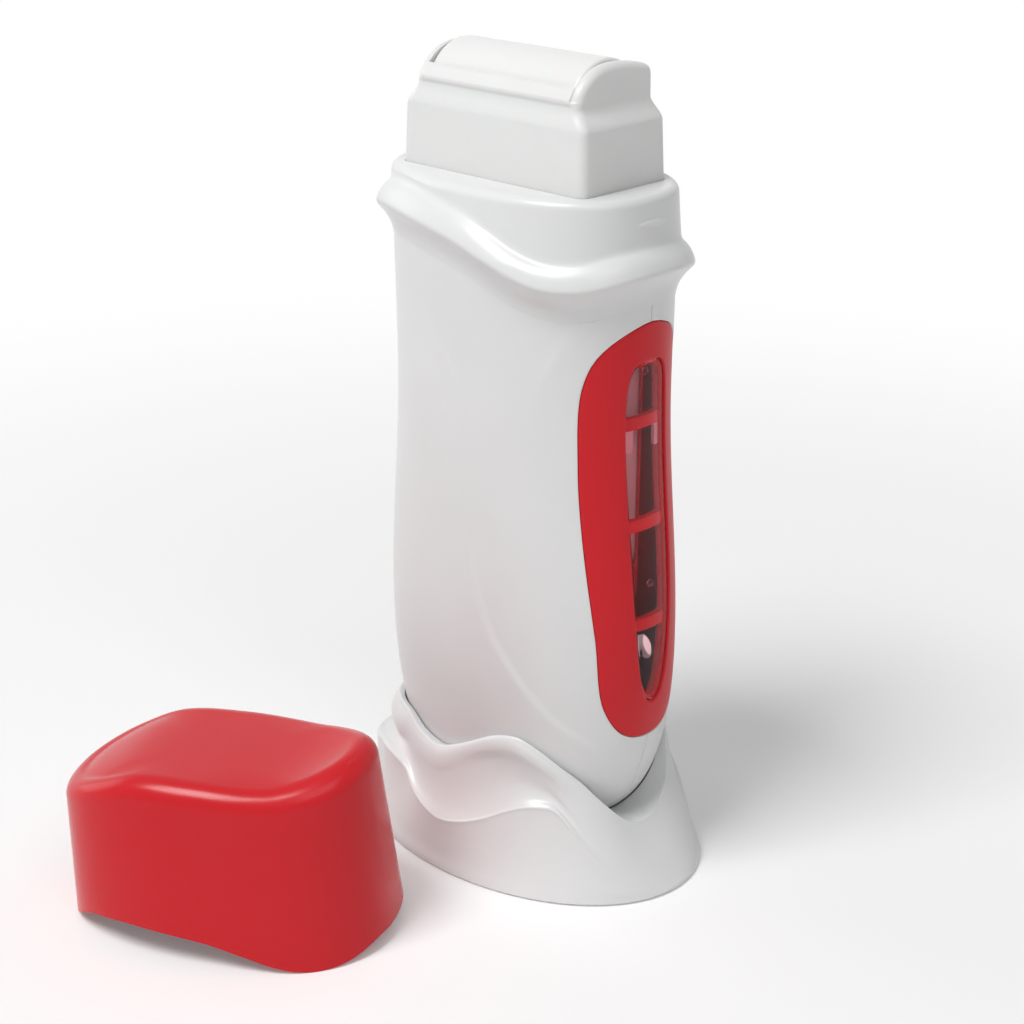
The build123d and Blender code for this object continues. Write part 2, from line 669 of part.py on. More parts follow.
def make_plug():
    """Socket in the handpiece's bottom and the pins of the stand that reach into it."""
    bottom = casing_bottom
    block = slab((-socket_half_width, -socket_half_depth, bottom),
                 (socket_half_width, socket_half_depth, bottom + socket_height))
    flange_bottom = bottom + casing_floor
    block += slab((-socket_half_width - socket_flange, -socket_half_depth - socket_flange, flange_bottom),
                  (socket_half_width + socket_flange, socket_half_depth + socket_flange,
                   flange_bottom + socket_flange_thickness))
    contact_radius = contact_pin_radius + contact_gap + sleeve_contact_wall
    depth = socket_height - socket_blind
    contacts = []
    for side in (-1, 1):
        x = side * contact_half_pitch
        block -= rod((x, 0, bottom), contact_radius, depth, (0, 0, 1))
        tube = rod((x, 0, bottom + 1), contact_radius, depth - 1, (0, 0, 1))
        tube -= rod((x, 0, bottom + 1), contact_radius - sleeve_contact_wall, depth - 2, (0, 0, 1))
        contacts.append(tube)
    save("socket_block", block)
    save("socket_contacts", Compound(children=contacts))

    top = cradle_top
    floor_bottom = top - cradle_floor
    base = slab((-block_half_width, -block_half_depth, floor_bottom - block_flange_thickness),
                (block_half_width, block_half_depth, top))
    base += slab((-block_half_width - block_flange, -block_half_depth - block_flange,
                  floor_bottom - block_flange_thickness),
                 (block_half_width + block_flange, block_half_depth + block_flange, floor_bottom))
    pins = []
    pin_low = floor_bottom - block_flange_thickness - contact_pin_tail
    for side in (-1, 1):
        start = (side * contact_half_pitch, 0, pin_low)
        length = top + contact_pin_height - pin_low
        base -= rod(start, contact_pin_radius, length, (0, 0, 1))
        pin = rod(start, contact_pin_radius, length, (0, 0, 1))
        pins.append(fillet(pin.edges().group_by(Axis.Z)[-1], contact_pin_radius * 0.7))
    save("contact_block", base)
    save("contact_pins", Compound(children=pins))

    wires = []
    y = terminal_place[1] - terminal_size[1] / 2 - seam_gap
    z = floor_bottom - block_flange_thickness - seam_gap - wire_radius
    for side in (-1, 1):
        x = side * contact_half_pitch
        start = (terminal_place[0] + side * 2.5, y, z)
        wires.append(wire([start, (start[0], y - 3, z), (x, contact_pin_radius + 5, z),
                           (x, contact_pin_radius + seam_gap, z)], bend=1.5))
    save("stand_wires", Compound(children=wires))


def make_stand():
    """Stand shell with its wavy lip and ridge, the cradle for the handpiece, base plate, pads and screws."""
    def between(low, high, t):
        return lambda share: low(share) + (high(share) - low(share)) * t

    rim_size = grown(casing_size, cradle_gap - 0.6)

    def rolled(reach, mix):
        """Size that stands out from the handpiece, and goes a share of the way to the skirt where that is wider."""
        def size(z):
            pairs = [(a + reach, a + (b - a) * mix) for a, b in zip(casing_size(z), stand_size(z))]
            return tuple((near + far + math.hypot(near - far, 1.0)) / 2 for near, far in pairs)
        return size

    def foot(share):
        return stand_edge

    rings = [ring(fixed(base_half_width, base_half_depth), 2.0, 0.0),
             ring(fixed(base_half_width - 0.2, base_half_depth - 0.2), 2.0, stand_edge),
             ring(grown(stand_size, -0.1), 2.03, between(foot, ridge_line, 0.25)),
             ring(grown(stand_size, -0.5), 2.06, between(foot, ridge_line, 0.6)),
             ring(grown(stand_size, 0.0), stand_fullness, between(foot, ridge_line, 0.92)),
             ring(grown(stand_size, 0.1), stand_fullness, ridge_line),
             ring(grown(stand_size, -0.5), stand_fullness, between(ridge_line, lip_line, 0.3)),
             ring(rolled(rim_reach - 1.4, 0.95), stand_fullness, between(ridge_line, lip_line, 0.7)),
             ring(rolled(rim_reach - 0.9, 0.95), stand_fullness, lip_line),
             ring(rolled(rim_reach - 0.3, 0.96), stand_fullness, between(lip_line, rim_height, 0.35)),
             ring(rolled(rim_reach - 0.4, 0.9), stand_fullness, between(lip_line, rim_height, 0.75)),
             ring(rolled(rim_reach - 1.4, 0.7), casing_fullness, lambda share: rim_height(share) + 0.4),
             ring(rim_size, casing_fullness, rim_height),
             ring(fixed(belly_half_width * 0.4, belly_half_depth * 0.4), casing_fullness, cradle_top + 4)]
    body = Solid.make_loft(rings, ruled=True)
    body -= casing_form(cradle_gap, drop=cradle_gap)
    hollow = Solid.make_loft([ring(grown(stand_size, -stand_wall), stand_fullness, z)
                              for z in (-1.0, 4.0, stand_cavity_top)], ruled=True)
    under = casing_form(cradle_wall, drop=cradle_gap + cradle_floor)
    hollow -= under
    bosses = []
    for x, y in base_screw_places:
        bosses.append(rod((x, y, plate_thickness + 0.1), screw_radius + boss_wall, stand_cavity_top, (0, 0, 1)))
    for boss in bosses:
        hollow -= boss
    body -= hollow
    body -= slab((-block_half_width - seam_gap, -block_half_depth - seam_gap, 0),
                 (block_half_width + seam_gap, block_half_depth + seam_gap, cradle_top + 1))
    for x, y in base_screw_places:
        body -= rod((x, y, 0), screw_radius, base_screw_length + 1, (0, 0, 1))
    body -= rod((0, gland_inner - 2, gland_height), gland_radius + seam_gap, 20, (0, 1, 0))
    save("stand_shell", body)

    plate = Solid.make_loft([ring(grown(stand_size, -stand_wall - plate_gap), stand_fullness, z)
                             for z in (0.0, plate_thickness)], ruled=True)
    pads = []
    for x, y in pad_places:
        plate -= rod((x, y, 0), pad_radius + seam_gap, pad_depth, (0, 0, 1))
        pads.append(rod((x, y, 0), pad_radius, pad_depth, (0, 0, 1)))
    screws = []
    for x, y in base_screw_places:
        plate -= rod((x, y, -1), screw_radius + screw_gap, 10, (0, 0, 1))
        plate -= Pos(x, y, 0.6) * Cone(screw_head_radius + screw_gap, screw_radius + screw_gap, 1.2)
        shank = rod((x, y, 0.1), screw_radius - 0.02, base_screw_length, (0, 0, 1))
        screws.append(Pos(x, y, 0.65) * Cone(screw_head_radius, screw_radius - 0.02, 1.1) + shank)
    save("base_plate", plate)
    save("base_pads", Compound(children=pads))
    save("base_screws", Compound(children=screws))

    gland = rod((0, gland_inner, gland_height), gland_radius, gland_outer - gland_inner, (0, 1, 0))
    gland += rod((0, gland_inner - gland_flange_thickness, gland_height), gland_radius + gland_flange,
                 gland_flange_thickness, (0, 1, 0)) & slab((-20, 0, plate_thickness + seam_gap),
                                                           (20, 60, stand_cavity_top - seam_gap))
    gland -= rod((0, gland_inner - 5, gland_height), gland_bore, 30, (0, 1, 0))
    save("cord_gland", gland)
    length, depth, height = terminal_size
    x, y = terminal_place
    block = slab((x - length / 2, y - depth / 2, plate_thickness), (x + length / 2, y + depth / 2,
                                                                    plate_thickness + height))
    for side in (-1, 1):
        block -= rod((x + side * length / 4, y, plate_thickness + height - 1.5), 1.4, 3, (0, 0, 1))
    save("terminal_block", block)


def make_cap():
    """Cap with a wavy edge that follows the collar's ledge, a wavy roof and rounded roof edges."""
    seat = ledge_low + seam_gap

    def cap_edge(share):
        return seat + collar_depth * shape_height(share, collar_shape)

    def roof(share, drop):
        return seat + cap_roof_rise + shape_height(share, cap_roof_shape) - drop

    def block(inset, drop, low):
        narrow_width = (cap_half_width - cap_top_half_width) / cap_draft_height
        narrow_depth = (cap_half_depth - cap_top_half_depth) / cap_draft_height

        def size(z):
            return (cap_half_width - narrow_width * (z - seat) - inset,
                    cap_half_depth - narrow_depth * (z - seat) - inset)

        solid = Solid.make_loft([ring(size, cap_fullness, z, step=30)
                                 for z in (low, seat + cap_roof_rise + 8)], ruled=True)
        points = [(cap_half_width * k / 6, roof(k / 6, drop)) for k in range(-7, 8)]
        reach = points[-1][0]
        lid = Plane.XZ * make_face([Spline(*points), Polyline(points[-1], (reach, seat + 90), (-reach, seat + 90),
                                                              points[0])])
        solid -= Pos(0, 60, 0) * extrude(lid, 120)
        top = solid.faces().sort_by(Axis.Z)[-1]
        return fillet(top.edges(), max(cap_edge_radius - inset, 0.5))

    body = block(0.0, 0.0, seat - 6)
    points = [(cap_half_width * k / 8, cap_edge(k / 8)) for k in range(-9, 10)]
    reach = points[-1][0]
    under = Plane.XZ * make_face([Spline(*points), Polyline(points[-1], (reach, seat - 30), (-reach, seat - 30),
                                                            points[0])])
    body -= block(cap_wall, cap_roof, seat - 10)
    body -= Pos(0, 60, 0) * extrude(under, 120)
    body = Pos(0, 0, -seat) * body
    body = Rot(0, cap_settle, 0) * body
    body = Pos(0, 0, -body.bounding_box().min.Z) * body
    save("cap", Pos(*cap_place, 0) * Rot(0, 0, cap_turn) * body)


make_casing()
make_collar()
make_window()
make_cartridge()
make_chamber()
make_plug()
make_stand()
make_cap()
os.makedirs("parts", exist_ok=True)
for name, shape in pieces.items():
    export_step(shape, "parts/" + name + ".step")
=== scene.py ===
# Roll-on wax warmer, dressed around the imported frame: moulded shells, window, cartridge head and cap.
# Shapes are worked out in millimetres from the named values below and written as meshes in metres.
import json
import math
import bmesh
import bpy
import numpy as np
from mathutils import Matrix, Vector


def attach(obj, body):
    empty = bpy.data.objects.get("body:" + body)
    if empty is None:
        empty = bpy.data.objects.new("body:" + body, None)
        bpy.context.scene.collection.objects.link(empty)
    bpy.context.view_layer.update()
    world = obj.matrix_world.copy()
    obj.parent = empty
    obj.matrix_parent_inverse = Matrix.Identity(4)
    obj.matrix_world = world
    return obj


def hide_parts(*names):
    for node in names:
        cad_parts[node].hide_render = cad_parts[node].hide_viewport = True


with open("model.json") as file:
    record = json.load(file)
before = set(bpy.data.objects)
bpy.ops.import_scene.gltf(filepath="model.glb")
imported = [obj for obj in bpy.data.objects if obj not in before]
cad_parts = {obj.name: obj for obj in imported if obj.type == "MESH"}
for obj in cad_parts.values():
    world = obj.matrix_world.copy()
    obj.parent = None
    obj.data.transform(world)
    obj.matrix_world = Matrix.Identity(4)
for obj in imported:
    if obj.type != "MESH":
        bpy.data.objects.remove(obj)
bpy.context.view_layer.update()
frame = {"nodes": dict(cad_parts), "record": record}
MM = 0.001

# Casing of the handpiece
casing_fullness = 2.2
casing_wall = 1.6
casing_bottom = 9.0
egg_bottom = 8.0
egg_power = 2.2
egg_width_roundness = 4.0
egg_depth_roundness = 6.0
belly = (55.0, 37.0, 22.5)
waist = (112.0, 33.5, 22.2)
shoulder = (142.0, 33.7, 22.6)
seam_gap = 0.1
seam_round = 0.35
socket_half = (11.1, 5.6)
socket_top = 14
screw_places = ((-17.0, 29.0), (17.0, 29.0), (-19.0, 45.0), (19.0, 45.0))
screw_radius = 2.75

# Neck and collar
neck_fullness = 2.5
neck_top = 154.9
neck_half = (33.0, 21.4)
neck_wall = 2.0
neck_deck = 2.5
neck_edge_radius = 1.8
mouth_half = (26.13, 13.03)
mouth_corner = 2.13
mouth_edge = 0.15
collar_low = 137.4
collar_depth = 10.2
collar_undercut = 7.3
ledge_rise = 5.0
collar_shape = [(-1.0, 0.47), (-0.8, 0.90), (-0.6, 1.0), (-0.38, 0.97), (0.02, 0.75), (0.25, 0.49),
                (0.43, 0.23), (0.58, 0.06), (0.72, 0.0), (0.86, 0.05), (1.0, 0.23)]
snap_centre = (0.0, 149.2)
snap_size = (4.0, 0.8, 0.45)

# Window
frame_bottom = 35.7
frame_height = 93.1
frame_half_width = 14.3
frame_shape = [(0.0, 1.0), (0.50, 0.978), (0.80, 0.937), (0.95, 0.873), (1.0, 0.69), (0.98, 0.476),
               (0.90, 0.277), (0.776, 0.091), (0.476, 0.019), (0.0, 0.0)]
lens_bottom = 44.2
lens_height = 76.3
lens_half_width = 5.9
lens_widest = 0.666
lens_top_fullness = 5.0
lens_bottom_fullness = 2.6
lens_depth = 0.4
lens_thickness = 1.2
lens_ledge = 1.1
frame_edge = 0.3
frame_back = 3.0
lens_edge = 0.35
tab_shape = ((3.2, 101.4), (3.5, 101.1), (5.6, 101.1), (5.6, 106.4), (3.5, 106.4), (3.2, 106.1))
tab_depths = (1.7, 2.4)
gate_heights = (71.5, 118.2)
rib_bottom = 61.3
rib_pitch = 22.3
rib_height = 2.6

# Cartridge and its head
cartridge_half = (26.0, 12.9)
cartridge_corner = 2.0
cartridge_bottom = 61.2
cartridge_straight = 154.2
cartridge_top = 167.4
cartridge_taper = 0.45
cartridge_edge = 1.2
head_half = (22.9, 11.5)
head_shoulder = 4.6
head_ridge = 5.9
lip_height = 8.55
lip_half_depth = 9.6
cheek_shape = [(-11.45, -2.5), (-11.4, 0.0), (-11.15, 1.1), (-10.6, 2.4), (-9.6, 3.8), (-7.8, 5.4),
               (-5.4, 6.75), (-2.8, 7.4), (0.0, 7.6), (4.0, 7.35), (8.0, 6.7), (10.0, 6.1), (10.9, 5.5),
               (11.3, 4.5), (11.4, 2.5), (11.5, -2.5)]
cheek_edge = 1.7
head_voxel = 0.16
head_passes = 3
head_sharp_angle = 80
roller_radius = 11.0
roller_half_length = 20.3
roller_axis = 169.2
roller_gap = 0.35
roller_edge = 0.8
roller_bore = 1.7

# Stand
base_half = (45.1, 31.3)
base_fullness = 2.0
skirt_half = (43.9, 30.3)
skirt_lean = 0.34
stand_fullness = 2.1
stand_edge = 1.2
stand_wall = 2.2
cradle_gap = 0.4
cradle_floor = 8.6
contact_half = (13.1, 7.1)
gland_radius = 4.7
gland_height = 7.6
rim_reach = 2.4
rim_low = 25.8
rim_shape = [(-1.0, 0.8), (-0.8, 2.4), (-0.55, 2.8), (-0.4, 0.5), (-0.19, -0.3), (-0.055, 1.4),
             (0.093, 4.5), (0.267, 8.1), (0.42, 9.3), (0.55, 7.6), (0.70, 3.9), (0.83, -0.2),
             (0.93, -6.0), (1.0, -12.0)]
ridge_low = 10.9
ridge_shape = [(-1.0, 3.0), (-0.8, 6.4), (-0.66, 8.2), (-0.44, 6.6), (-0.32, 3.4), (-0.21, 1.3), (-0.05, 0.0),
               (0.1, 1.3), (0.26, 4.0), (0.41, 7.2), (0.54, 9.2), (0.67, 9.7), (0.79, 8.6), (0.89, 5.5),
               (1.0, 0.0)]

# Cap
cap_half = (36.0, 24.9)
cap_top_half = (34.2, 19.6)
cap_fullness = 2.35
cap_draft_height = 40.0
cap_wall = 1.6
cap_roof = 1.4
cap_edge_radius = 4.3
cap_roof_rise = 39.8
cap_roof_shape = [(-1.0, -3.6), (-0.7, 0.0), (-0.42, 2.3), (0.0, 1.6), (0.5, 0.0), (0.75, 0.7), (1.0, 2.6)]
cap_turn = 32.0
cap_place = (-19.0, -71.5)
cap_settle = -4.4

# Studio
world_light = 0.22
floor_near = 0.16
floor_far = 0.5
floor_lift = 0.15
lamp_target = (0, -0.02, 0.08)
lamps = (("key", (-0.14, -1.1, 1.96), 0.9, 34.0), ("side", (-2.4, -0.8, 1.0), 1.4, 8.0),
         ("right", (1.5, -0.7, 2.0), 1.4, 10.0))
camera_place = (0.29272, -0.30719, 0.24995)
camera_degrees = (67.92, 0, 44.19)
camera_lens = 72.42

ledge_low = collar_low + ledge_rise


def wave(share, keys):
    """Smooth curve through key points, held level outside them."""
    keys = np.asarray(keys, float)
    x, y = keys[:, 0], keys[:, 1]
    share = np.clip(np.asarray(share, float), x[0], x[-1])
    slopes = np.empty_like(y)
    slopes[1:-1] = (y[2:] - y[:-2]) / (x[2:] - x[:-2])
    slopes[0] = (y[1] - y[0]) / (x[1] - x[0])
    slopes[-1] = (y[-1] - y[-2]) / (x[-1] - x[-2])
    i = np.clip(np.searchsorted(x, share, side="right") - 1, 0, len(x) - 2)
    span = x[i + 1] - x[i]
    t = (share - x[i]) / span
    rise = y[i + 1] - y[i]
    a, b = slopes[i] * span, slopes[i + 1] * span
    return y[i] + t * a + t * t * (3 * rise - 2 * a - b) + t ** 3 * (a + b - 2 * rise)


def blend(start, end, t):
    """Half a cosine wave from start to end."""
    return start + (end - start) * (1 - np.cos(np.pi * np.clip(t, 0, 1))) / 2


def casing_size(z):
    """Half width and half depth of the casing at a height."""
    z = np.asarray(z, float)
    drop = 1 - (np.clip(belly[0] - z, 0, belly[0] - egg_bottom) / (belly[0] - egg_bottom)) ** egg_power
    low = (belly[1] * drop ** (1 / egg_width_roundness), belly[2] * drop ** (1 / egg_depth_roundness))
    sizes = []
    for k in (1, 2):
        middle = blend(belly[k], waist[k], (z - belly[0]) / (waist[0] - belly[0]))
        top = blend(waist[k], shoulder[k], (z - waist[0]) / (shoulder[0] - waist[0]))
        sizes.append(np.where(z < belly[0], low[k - 1], np.where(z < waist[0], middle, top)))
    return sizes[0], sizes[1]


def neck_size(z):
    """Half width and half depth of the neck's wall at a height."""
    t = np.clip((z - shoulder[0]) / (neck_top - shoulder[0]), 0, 1)
    low = casing_size(np.minimum(z, shoulder[0]))
    return low[0] + (neck_half[0] - shoulder[1]) * t, low[1] + (neck_half[1] - shoulder[2]) * t


def stand_size(z):
    """Half width and half depth of the stand's skirt at a height."""
    lean = skirt_lean * np.asarray(z, float)
    return skirt_half[0] - lean, skirt_half[1] - lean * skirt_half[1] / skirt_half[0]


def oval_shares(fullness, angles):
    """Shares of the half width and half depth round an oval."""
    c, s = np.cos(angles), np.sin(angles)
    return (np.sign(c) * np.abs(c) ** (2 / fullness), np.sign(s) * np.abs(s) ** (2 / fullness))


def oval(size, fullness, z, angles, outset=0.0):
    """Points of an oval ring whose height is a number, or changes round the ring."""
    across, along = oval_shares(fullness, angles)
    z = np.broadcast_to(np.asarray(z, float), across.shape)
    half_width, half_depth = size(z)
    return np.stack([(half_width + outset) * across, (half_depth + outset) * along, z], axis=-1)


def smooth_share(t):
    """Zero to one with level ends."""
    t = np.clip(t, 0, 1)
    return t * t * (3 - 2 * t)


def turn_angles(count):
    return np.arange(count) * 2 * np.pi / count


def arc_steps(count, first=0.0, last=90.0):
    return np.radians(np.linspace(first, last, count))


def edge_steps(count, first=0.0, last=90.0):
    """Pairs along a quarter circle for a rounded edge, from (0, 1) to (1, 0)."""
    return [(1 - math.cos(a), 1 - math.sin(a)) for a in arc_steps(count, first, last)]


def bar_ring(half_width, half_depth, corner, z, arc=8, side=10):
    """Points of a rectangle ring with rounded corners, in order round it."""
    corner = max(min(corner, half_width - 0.01, half_depth - 0.01), 0.01)
    inner = np.array([half_width - corner, half_depth - corner])
    centres = [inner * sign for sign in ((1, 1), (-1, 1), (-1, -1), (1, -1), (1, 1))]
    points = []
    for k in range(4):
        bend = [corner * np.array([math.cos(a), math.sin(a)]) for a in arc_steps(arc, 90 * k, 90 * k + 90)]
        points += [centres[k] + step for step in bend]
        start, end = points[-1], centres[k + 1] + bend[-1]
        points += [start + (end - start) * t for t in np.linspace(0, 1, side + 2)[1:-1]]
    points = np.array(points)
    return np.column_stack([points, np.full(len(points), z)])


def grid_faces(rows, columns, ring=True, loop=False):
    """Quads between rows of points, closed round the columns (ring) or back to the first row (loop)."""
    faces = []
    for r in range(rows if loop else rows - 1):
        here, after = r * columns, (r + 1) % rows * columns
        for c in range(columns if ring else columns - 1):
            d = (c + 1) % columns
            faces.append((here + c, here + d, after + d, after + c))
    return faces


def make_object(name, points, faces, slot="casing_white", body=None, material=None):
    """Mesh object in metres with its faces turned outward, that rides on a body if one is given.
    Its material is the slot's, unless another one is named."""
    mesh = bpy.data.meshes.new(name)
    mesh.from_pydata([tuple(float(v) * MM for v in p) for p in points], [], faces)
    shell = bmesh.new()
    shell.from_mesh(mesh)
    bmesh.ops.recalc_face_normals(shell, faces=shell.faces)
    if shell.calc_volume(signed=True) < 0:
        bmesh.ops.reverse_faces(shell, faces=shell.faces)
    shell.to_mesh(mesh)
    shell.free()
    mesh.validate()
    piece = bpy.data.objects.new(name, mesh)
    bpy.context.scene.collection.objects.link(piece)
    mesh.materials.append(materials[material or slot])
    finish_shading(piece)
    if body:
        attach(piece, body)
    return piece


def finish_shading(piece, sharp_angle=35.0):
    """Smooth shading with sharp edges above an angle."""
    mesh = piece.data
    mesh.polygons.foreach_set("use_smooth", [True] * len(mesh.polygons))
    edges = bmesh.new()
    edges.from_mesh(mesh)
    for edge in edges.edges:
        edge.smooth = len(edge.link_faces) == 2 and edge.calc_face_angle(0.0) < math.radians(sharp_angle)
    edges.to_mesh(mesh)
    edges.free()
    mesh.update()


def ring_object(name, rings, slot="casing_white", body=None, caps=False, loop=False):
    """Object from a stack of closed rings with the same number of points, with its ends open or capped."""
    count = len(rings[0])
    faces = grid_faces(len(rings), count, loop=loop)
    if caps:
        faces += [tuple(start + c for c in range(count)) for start in (0, (len(rings) - 1) * count)]
    return make_object(name, np.concatenate(rings), faces, slot, body)


def apply_modifiers(piece):
    """Writes the modifiers' result into the mesh."""
    graph = bpy.context.evaluated_depsgraph_get()
    mesh = bpy.data.meshes.new_from_object(piece.evaluated_get(graph))
    old = piece.data
    piece.modifiers.clear()
    piece.data = mesh
    mesh.name = piece.name
    bpy.data.meshes.remove(old)


def cut(piece, cutters, operation="DIFFERENCE"):
    """Cuts other closed meshes out of a piece, or joins them to it, and removes them."""
    for cutter in cutters:
        step = piece.modifiers.new("cut", "BOOLEAN")
        step.operation = operation
        step.solver = "EXACT"
        step.object = cutter
    bpy.context.view_layer.update()
    apply_modifiers(piece)
    for cutter in cutters:
        bpy.data.objects.remove(cutter)
    finish_shading(piece)


def box_cutter(low, high):
    points = [(x, y, z) for x in (low[0], high[0]) for y in (low[1], high[1]) for z in (low[2], high[2])]
    faces = [(0, 1, 3, 2), (4, 6, 7, 5), (0, 4, 5, 1), (2, 3, 7, 6), (0, 2, 6, 4), (1, 5, 7, 3)]
    return make_object("cutter", points, faces)


def lathe_rings(profile, centre, axis, count=48):
    """Rings of a turned form from (distance along, radius) pairs."""
    axis = Vector(axis).normalized()
    side = axis.orthogonal().normalized()
    other = axis.cross(side)
    return [[tuple(Vector(centre) + axis * along + (side * math.cos(a) + other * math.sin(a)) * radius)
             for a in turn_angles(count)] for along, radius in profile]


def round_cutter(low, high, radius, centre, axis, count=48):
    """Closed round bar from one distance to another along an axis."""
    return ring_object("cutter", lathe_rings([(low, radius), (high, radius)], centre, axis, count), caps=True)


# ---- materials ----
def new_material(name):
    """Material, its node tree and its shader."""
    material = bpy.data.materials.new(name)
    material.use_nodes = True
    return material, material.node_tree, material.node_tree.nodes["Principled BSDF"]


def add_node(tree, kind, values=None, sources=None):
    """Shader node with set values and linked sources at its inputs."""
    node = tree.nodes.new("ShaderNode" + kind)
    feed(tree, node, values or {}, sources or {})
    return node


def feed(tree, node, values, sources):
    for name, value in values.items():
        node.inputs[name].default_value = value
    for name, source in sources.items():
        tree.links.new(source, node.inputs[name])


def two_tones(tree, share, low, high):
    """Colour that goes from one tone to another."""
    tone = add_node(tree, "ValToRGB", sources={"Fac": share})
    for element, colour in zip(tone.color_ramp.elements, (low, high)):
        element.color = (*colour, 1)
    return tone


def plastic(name, colour, roughness, grain=0.0, wander=0.02, subsurface=0.0, ripple=0.0, smudge=0.03,
            shine=0.5):
    """Moulded plastic: slight colour wander, uneven gloss, fine grain and slow ripples of the moulding."""
    material, tree, shader = new_material(name)
    place = {"Vector": add_node(tree, "TexCoord").outputs["Object"]}

    def noise(scale, detail):
        return add_node(tree, "TexNoise", {"Scale": scale, "Detail": detail}, place).outputs["Fac"]

    low = [max(c * (1 - wander), 0.0) for c in colour]
    high = [min(c * (1 + wander), 1.0) for c in colour]
    tone = two_tones(tree, noise(30.0, 1.0), low, high)
    tone.color_ramp.elements[0].position = 0.3
    tone.color_ramp.elements[1].position = 0.7
    gloss = add_node(tree, "MapRange", {"From Min": 0.35, "From Max": 0.7, "To Min": roughness - smudge / 2,
                                        "To Max": roughness + smudge / 2}, {"Value": noise(110.0, 3.0)})
    roll = add_node(tree, "Bump", {"Strength": ripple, "Distance": 0.0004}, {"Height": noise(60.0, 1.0)})
    bump = add_node(tree, "Bump", {"Strength": grain, "Distance": 0.0001},
                    {"Height": noise(900.0, 2.0), "Normal": roll.outputs["Normal"]})
    feed(tree, shader, {"IOR": 1.5, "Specular IOR Level": shine},
         {"Base Color": tone.outputs["Color"], "Roughness": gloss.outputs["Result"],
          "Normal": bump.outputs["Normal"]})
    if subsurface:
        feed(tree, shader, {"Subsurface Weight": subsurface, "Subsurface Scale": 0.002}, {})
    return material


def metal(name, colour, roughness, stretch=(1, 1, 30)):
    """Metal with drawn or brushed lines."""
    material, tree, shader = new_material(name)
    place = add_node(tree, "TexCoord").outputs["Object"]
    squeeze = add_node(tree, "Mapping", {"Scale": stretch}, {"Vector": place})
    lines = add_node(tree, "TexNoise", {"Scale": 220.0, "Detail": 5.0},
                     {"Vector": squeeze.outputs["Vector"]}).outputs["Fac"]
    tone = two_tones(tree, lines, [c * 0.85 for c in colour], colour)
    gloss = add_node(tree, "MapRange", {"To Min": roughness * 0.7, "To Max": roughness * 1.3},
                     {"Value": lines})
    bump = add_node(tree, "Bump", {"Strength": 0.15, "Distance": 0.00005}, {"Height": lines})
    feed(tree, shader, {"Metallic": 1.0}, {"Base Color": tone.outputs["Color"],
                                           "Roughness": gloss.outputs["Result"],
                                           "Normal": bump.outputs["Normal"]})
    return material


def clear_plastic(name, colour, roughness, **more):
    """Clear moulded plastic with faint flow marks and haze."""
    material = plastic(name, colour, roughness, **more)
    shader = material.node_tree.nodes["Principled BSDF"]
    feed(material.node_tree, shader, {"Transmission Weight": 1.0, "IOR": 1.22}, {})
    return material


white = (0.715, 0.72, 0.72)
red = (0.58, 0.006, 0.013)
tub_white = (0.74, 0.74, 0.735)
# The sleeve's red tint is painted shade with red reflected light: it stands in for the dark red shade inside
# the window that is seen through the lens.
finishes = {
    "stand_white": (plastic, white, 0.30, dict(grain=0.03, ripple=0.01)),
    "casing_white": (plastic, white, 0.30, dict(grain=0.03, ripple=0.01)),
    "frame_red": (plastic, red, 0.42, dict(grain=0.10, shine=0.3)),
    "cap_red": (plastic, red, 0.24, dict(grain=0.02, ripple=0.01, shine=0.3)),
    "lens_clear": (clear_plastic, (0.96, 0.60, 0.64), 0.06, dict(ripple=0.25, smudge=0.06, shine=0.15)),
    "cartridge_white": (plastic, tub_white, 0.36, dict(grain=0.06, subsurface=0.1)),
    "head_white": (plastic, tub_white, 0.34, dict(grain=0.06, subsurface=0.1)),
    "roller_white": (plastic, (0.78, 0.778, 0.772), 0.30, dict(grain=0.04, subsurface=0.15)),
    "wax_honey": (plastic, (0.55, 0.30, 0.06), 0.45, dict(grain=0.2, wander=0.12, subsurface=0.3)),
    # metal sleeve with a painted red tint for the shade and red reflected light seen through the lens
    "sleeve_metal": (metal, (0.80, 0.085, 0.115), 0.42, {}),
    "tab_clear": (plastic, (0.60, 0.46, 0.47), 0.25, dict(grain=0.1, wander=0.05)),
    "dark_plastic": (plastic, (0.03, 0.03, 0.032), 0.5, dict(grain=0.3, wander=0.1)),
    "heater_ceramic": (plastic, (0.62, 0.60, 0.54), 0.7, dict(grain=0.4, wander=0.06)),
    "spring_steel": (metal, (0.60, 0.61, 0.63), 0.3, {}),
    "can_metal": (metal, (0.66, 0.66, 0.68), 0.28, dict(stretch=(1, 20, 1))),
    "wire_white": (plastic, (0.70, 0.70, 0.68), 0.5, dict(grain=0.1, wander=0.04)),
    "wire_brown": (plastic, (0.11, 0.045, 0.02), 0.45, dict(grain=0.1, wander=0.08)),
    "block_grey": (plastic, (0.52, 0.52, 0.51), 0.5, dict(grain=0.25, wander=0.05)),
    "contact_brass": (metal, (0.76, 0.60, 0.30), 0.22, {}),
    "screw_steel": (metal, (0.56, 0.57, 0.60), 0.26, dict(stretch=(1, 1, 6))),
    "pad_rubber": (plastic, (0.035, 0.035, 0.036), 0.8, dict(grain=0.6, wander=0.15)),
    "plate_white": (plastic, (0.72, 0.72, 0.71), 0.5, dict(grain=0.5)),
    "gland_grey": (plastic, (0.60, 0.60, 0.59), 0.6, dict(grain=0.3, wander=0.04)),
}
materials = {name: make(name, colour, roughness, **more)
             for name, (make, colour, roughness, more) in finishes.items()}


# ---- shapes shared by several pieces ----
def collar_crest(share):
    """Height of the collar bead's crest, from a share of the half width."""
    return collar_low + collar_depth * wave(share, collar_shape)


def joint_line(x):
    """Height where the casing ends under the collar."""
    return collar_crest(np.asarray(x) / shoulder[1]) - collar_undercut


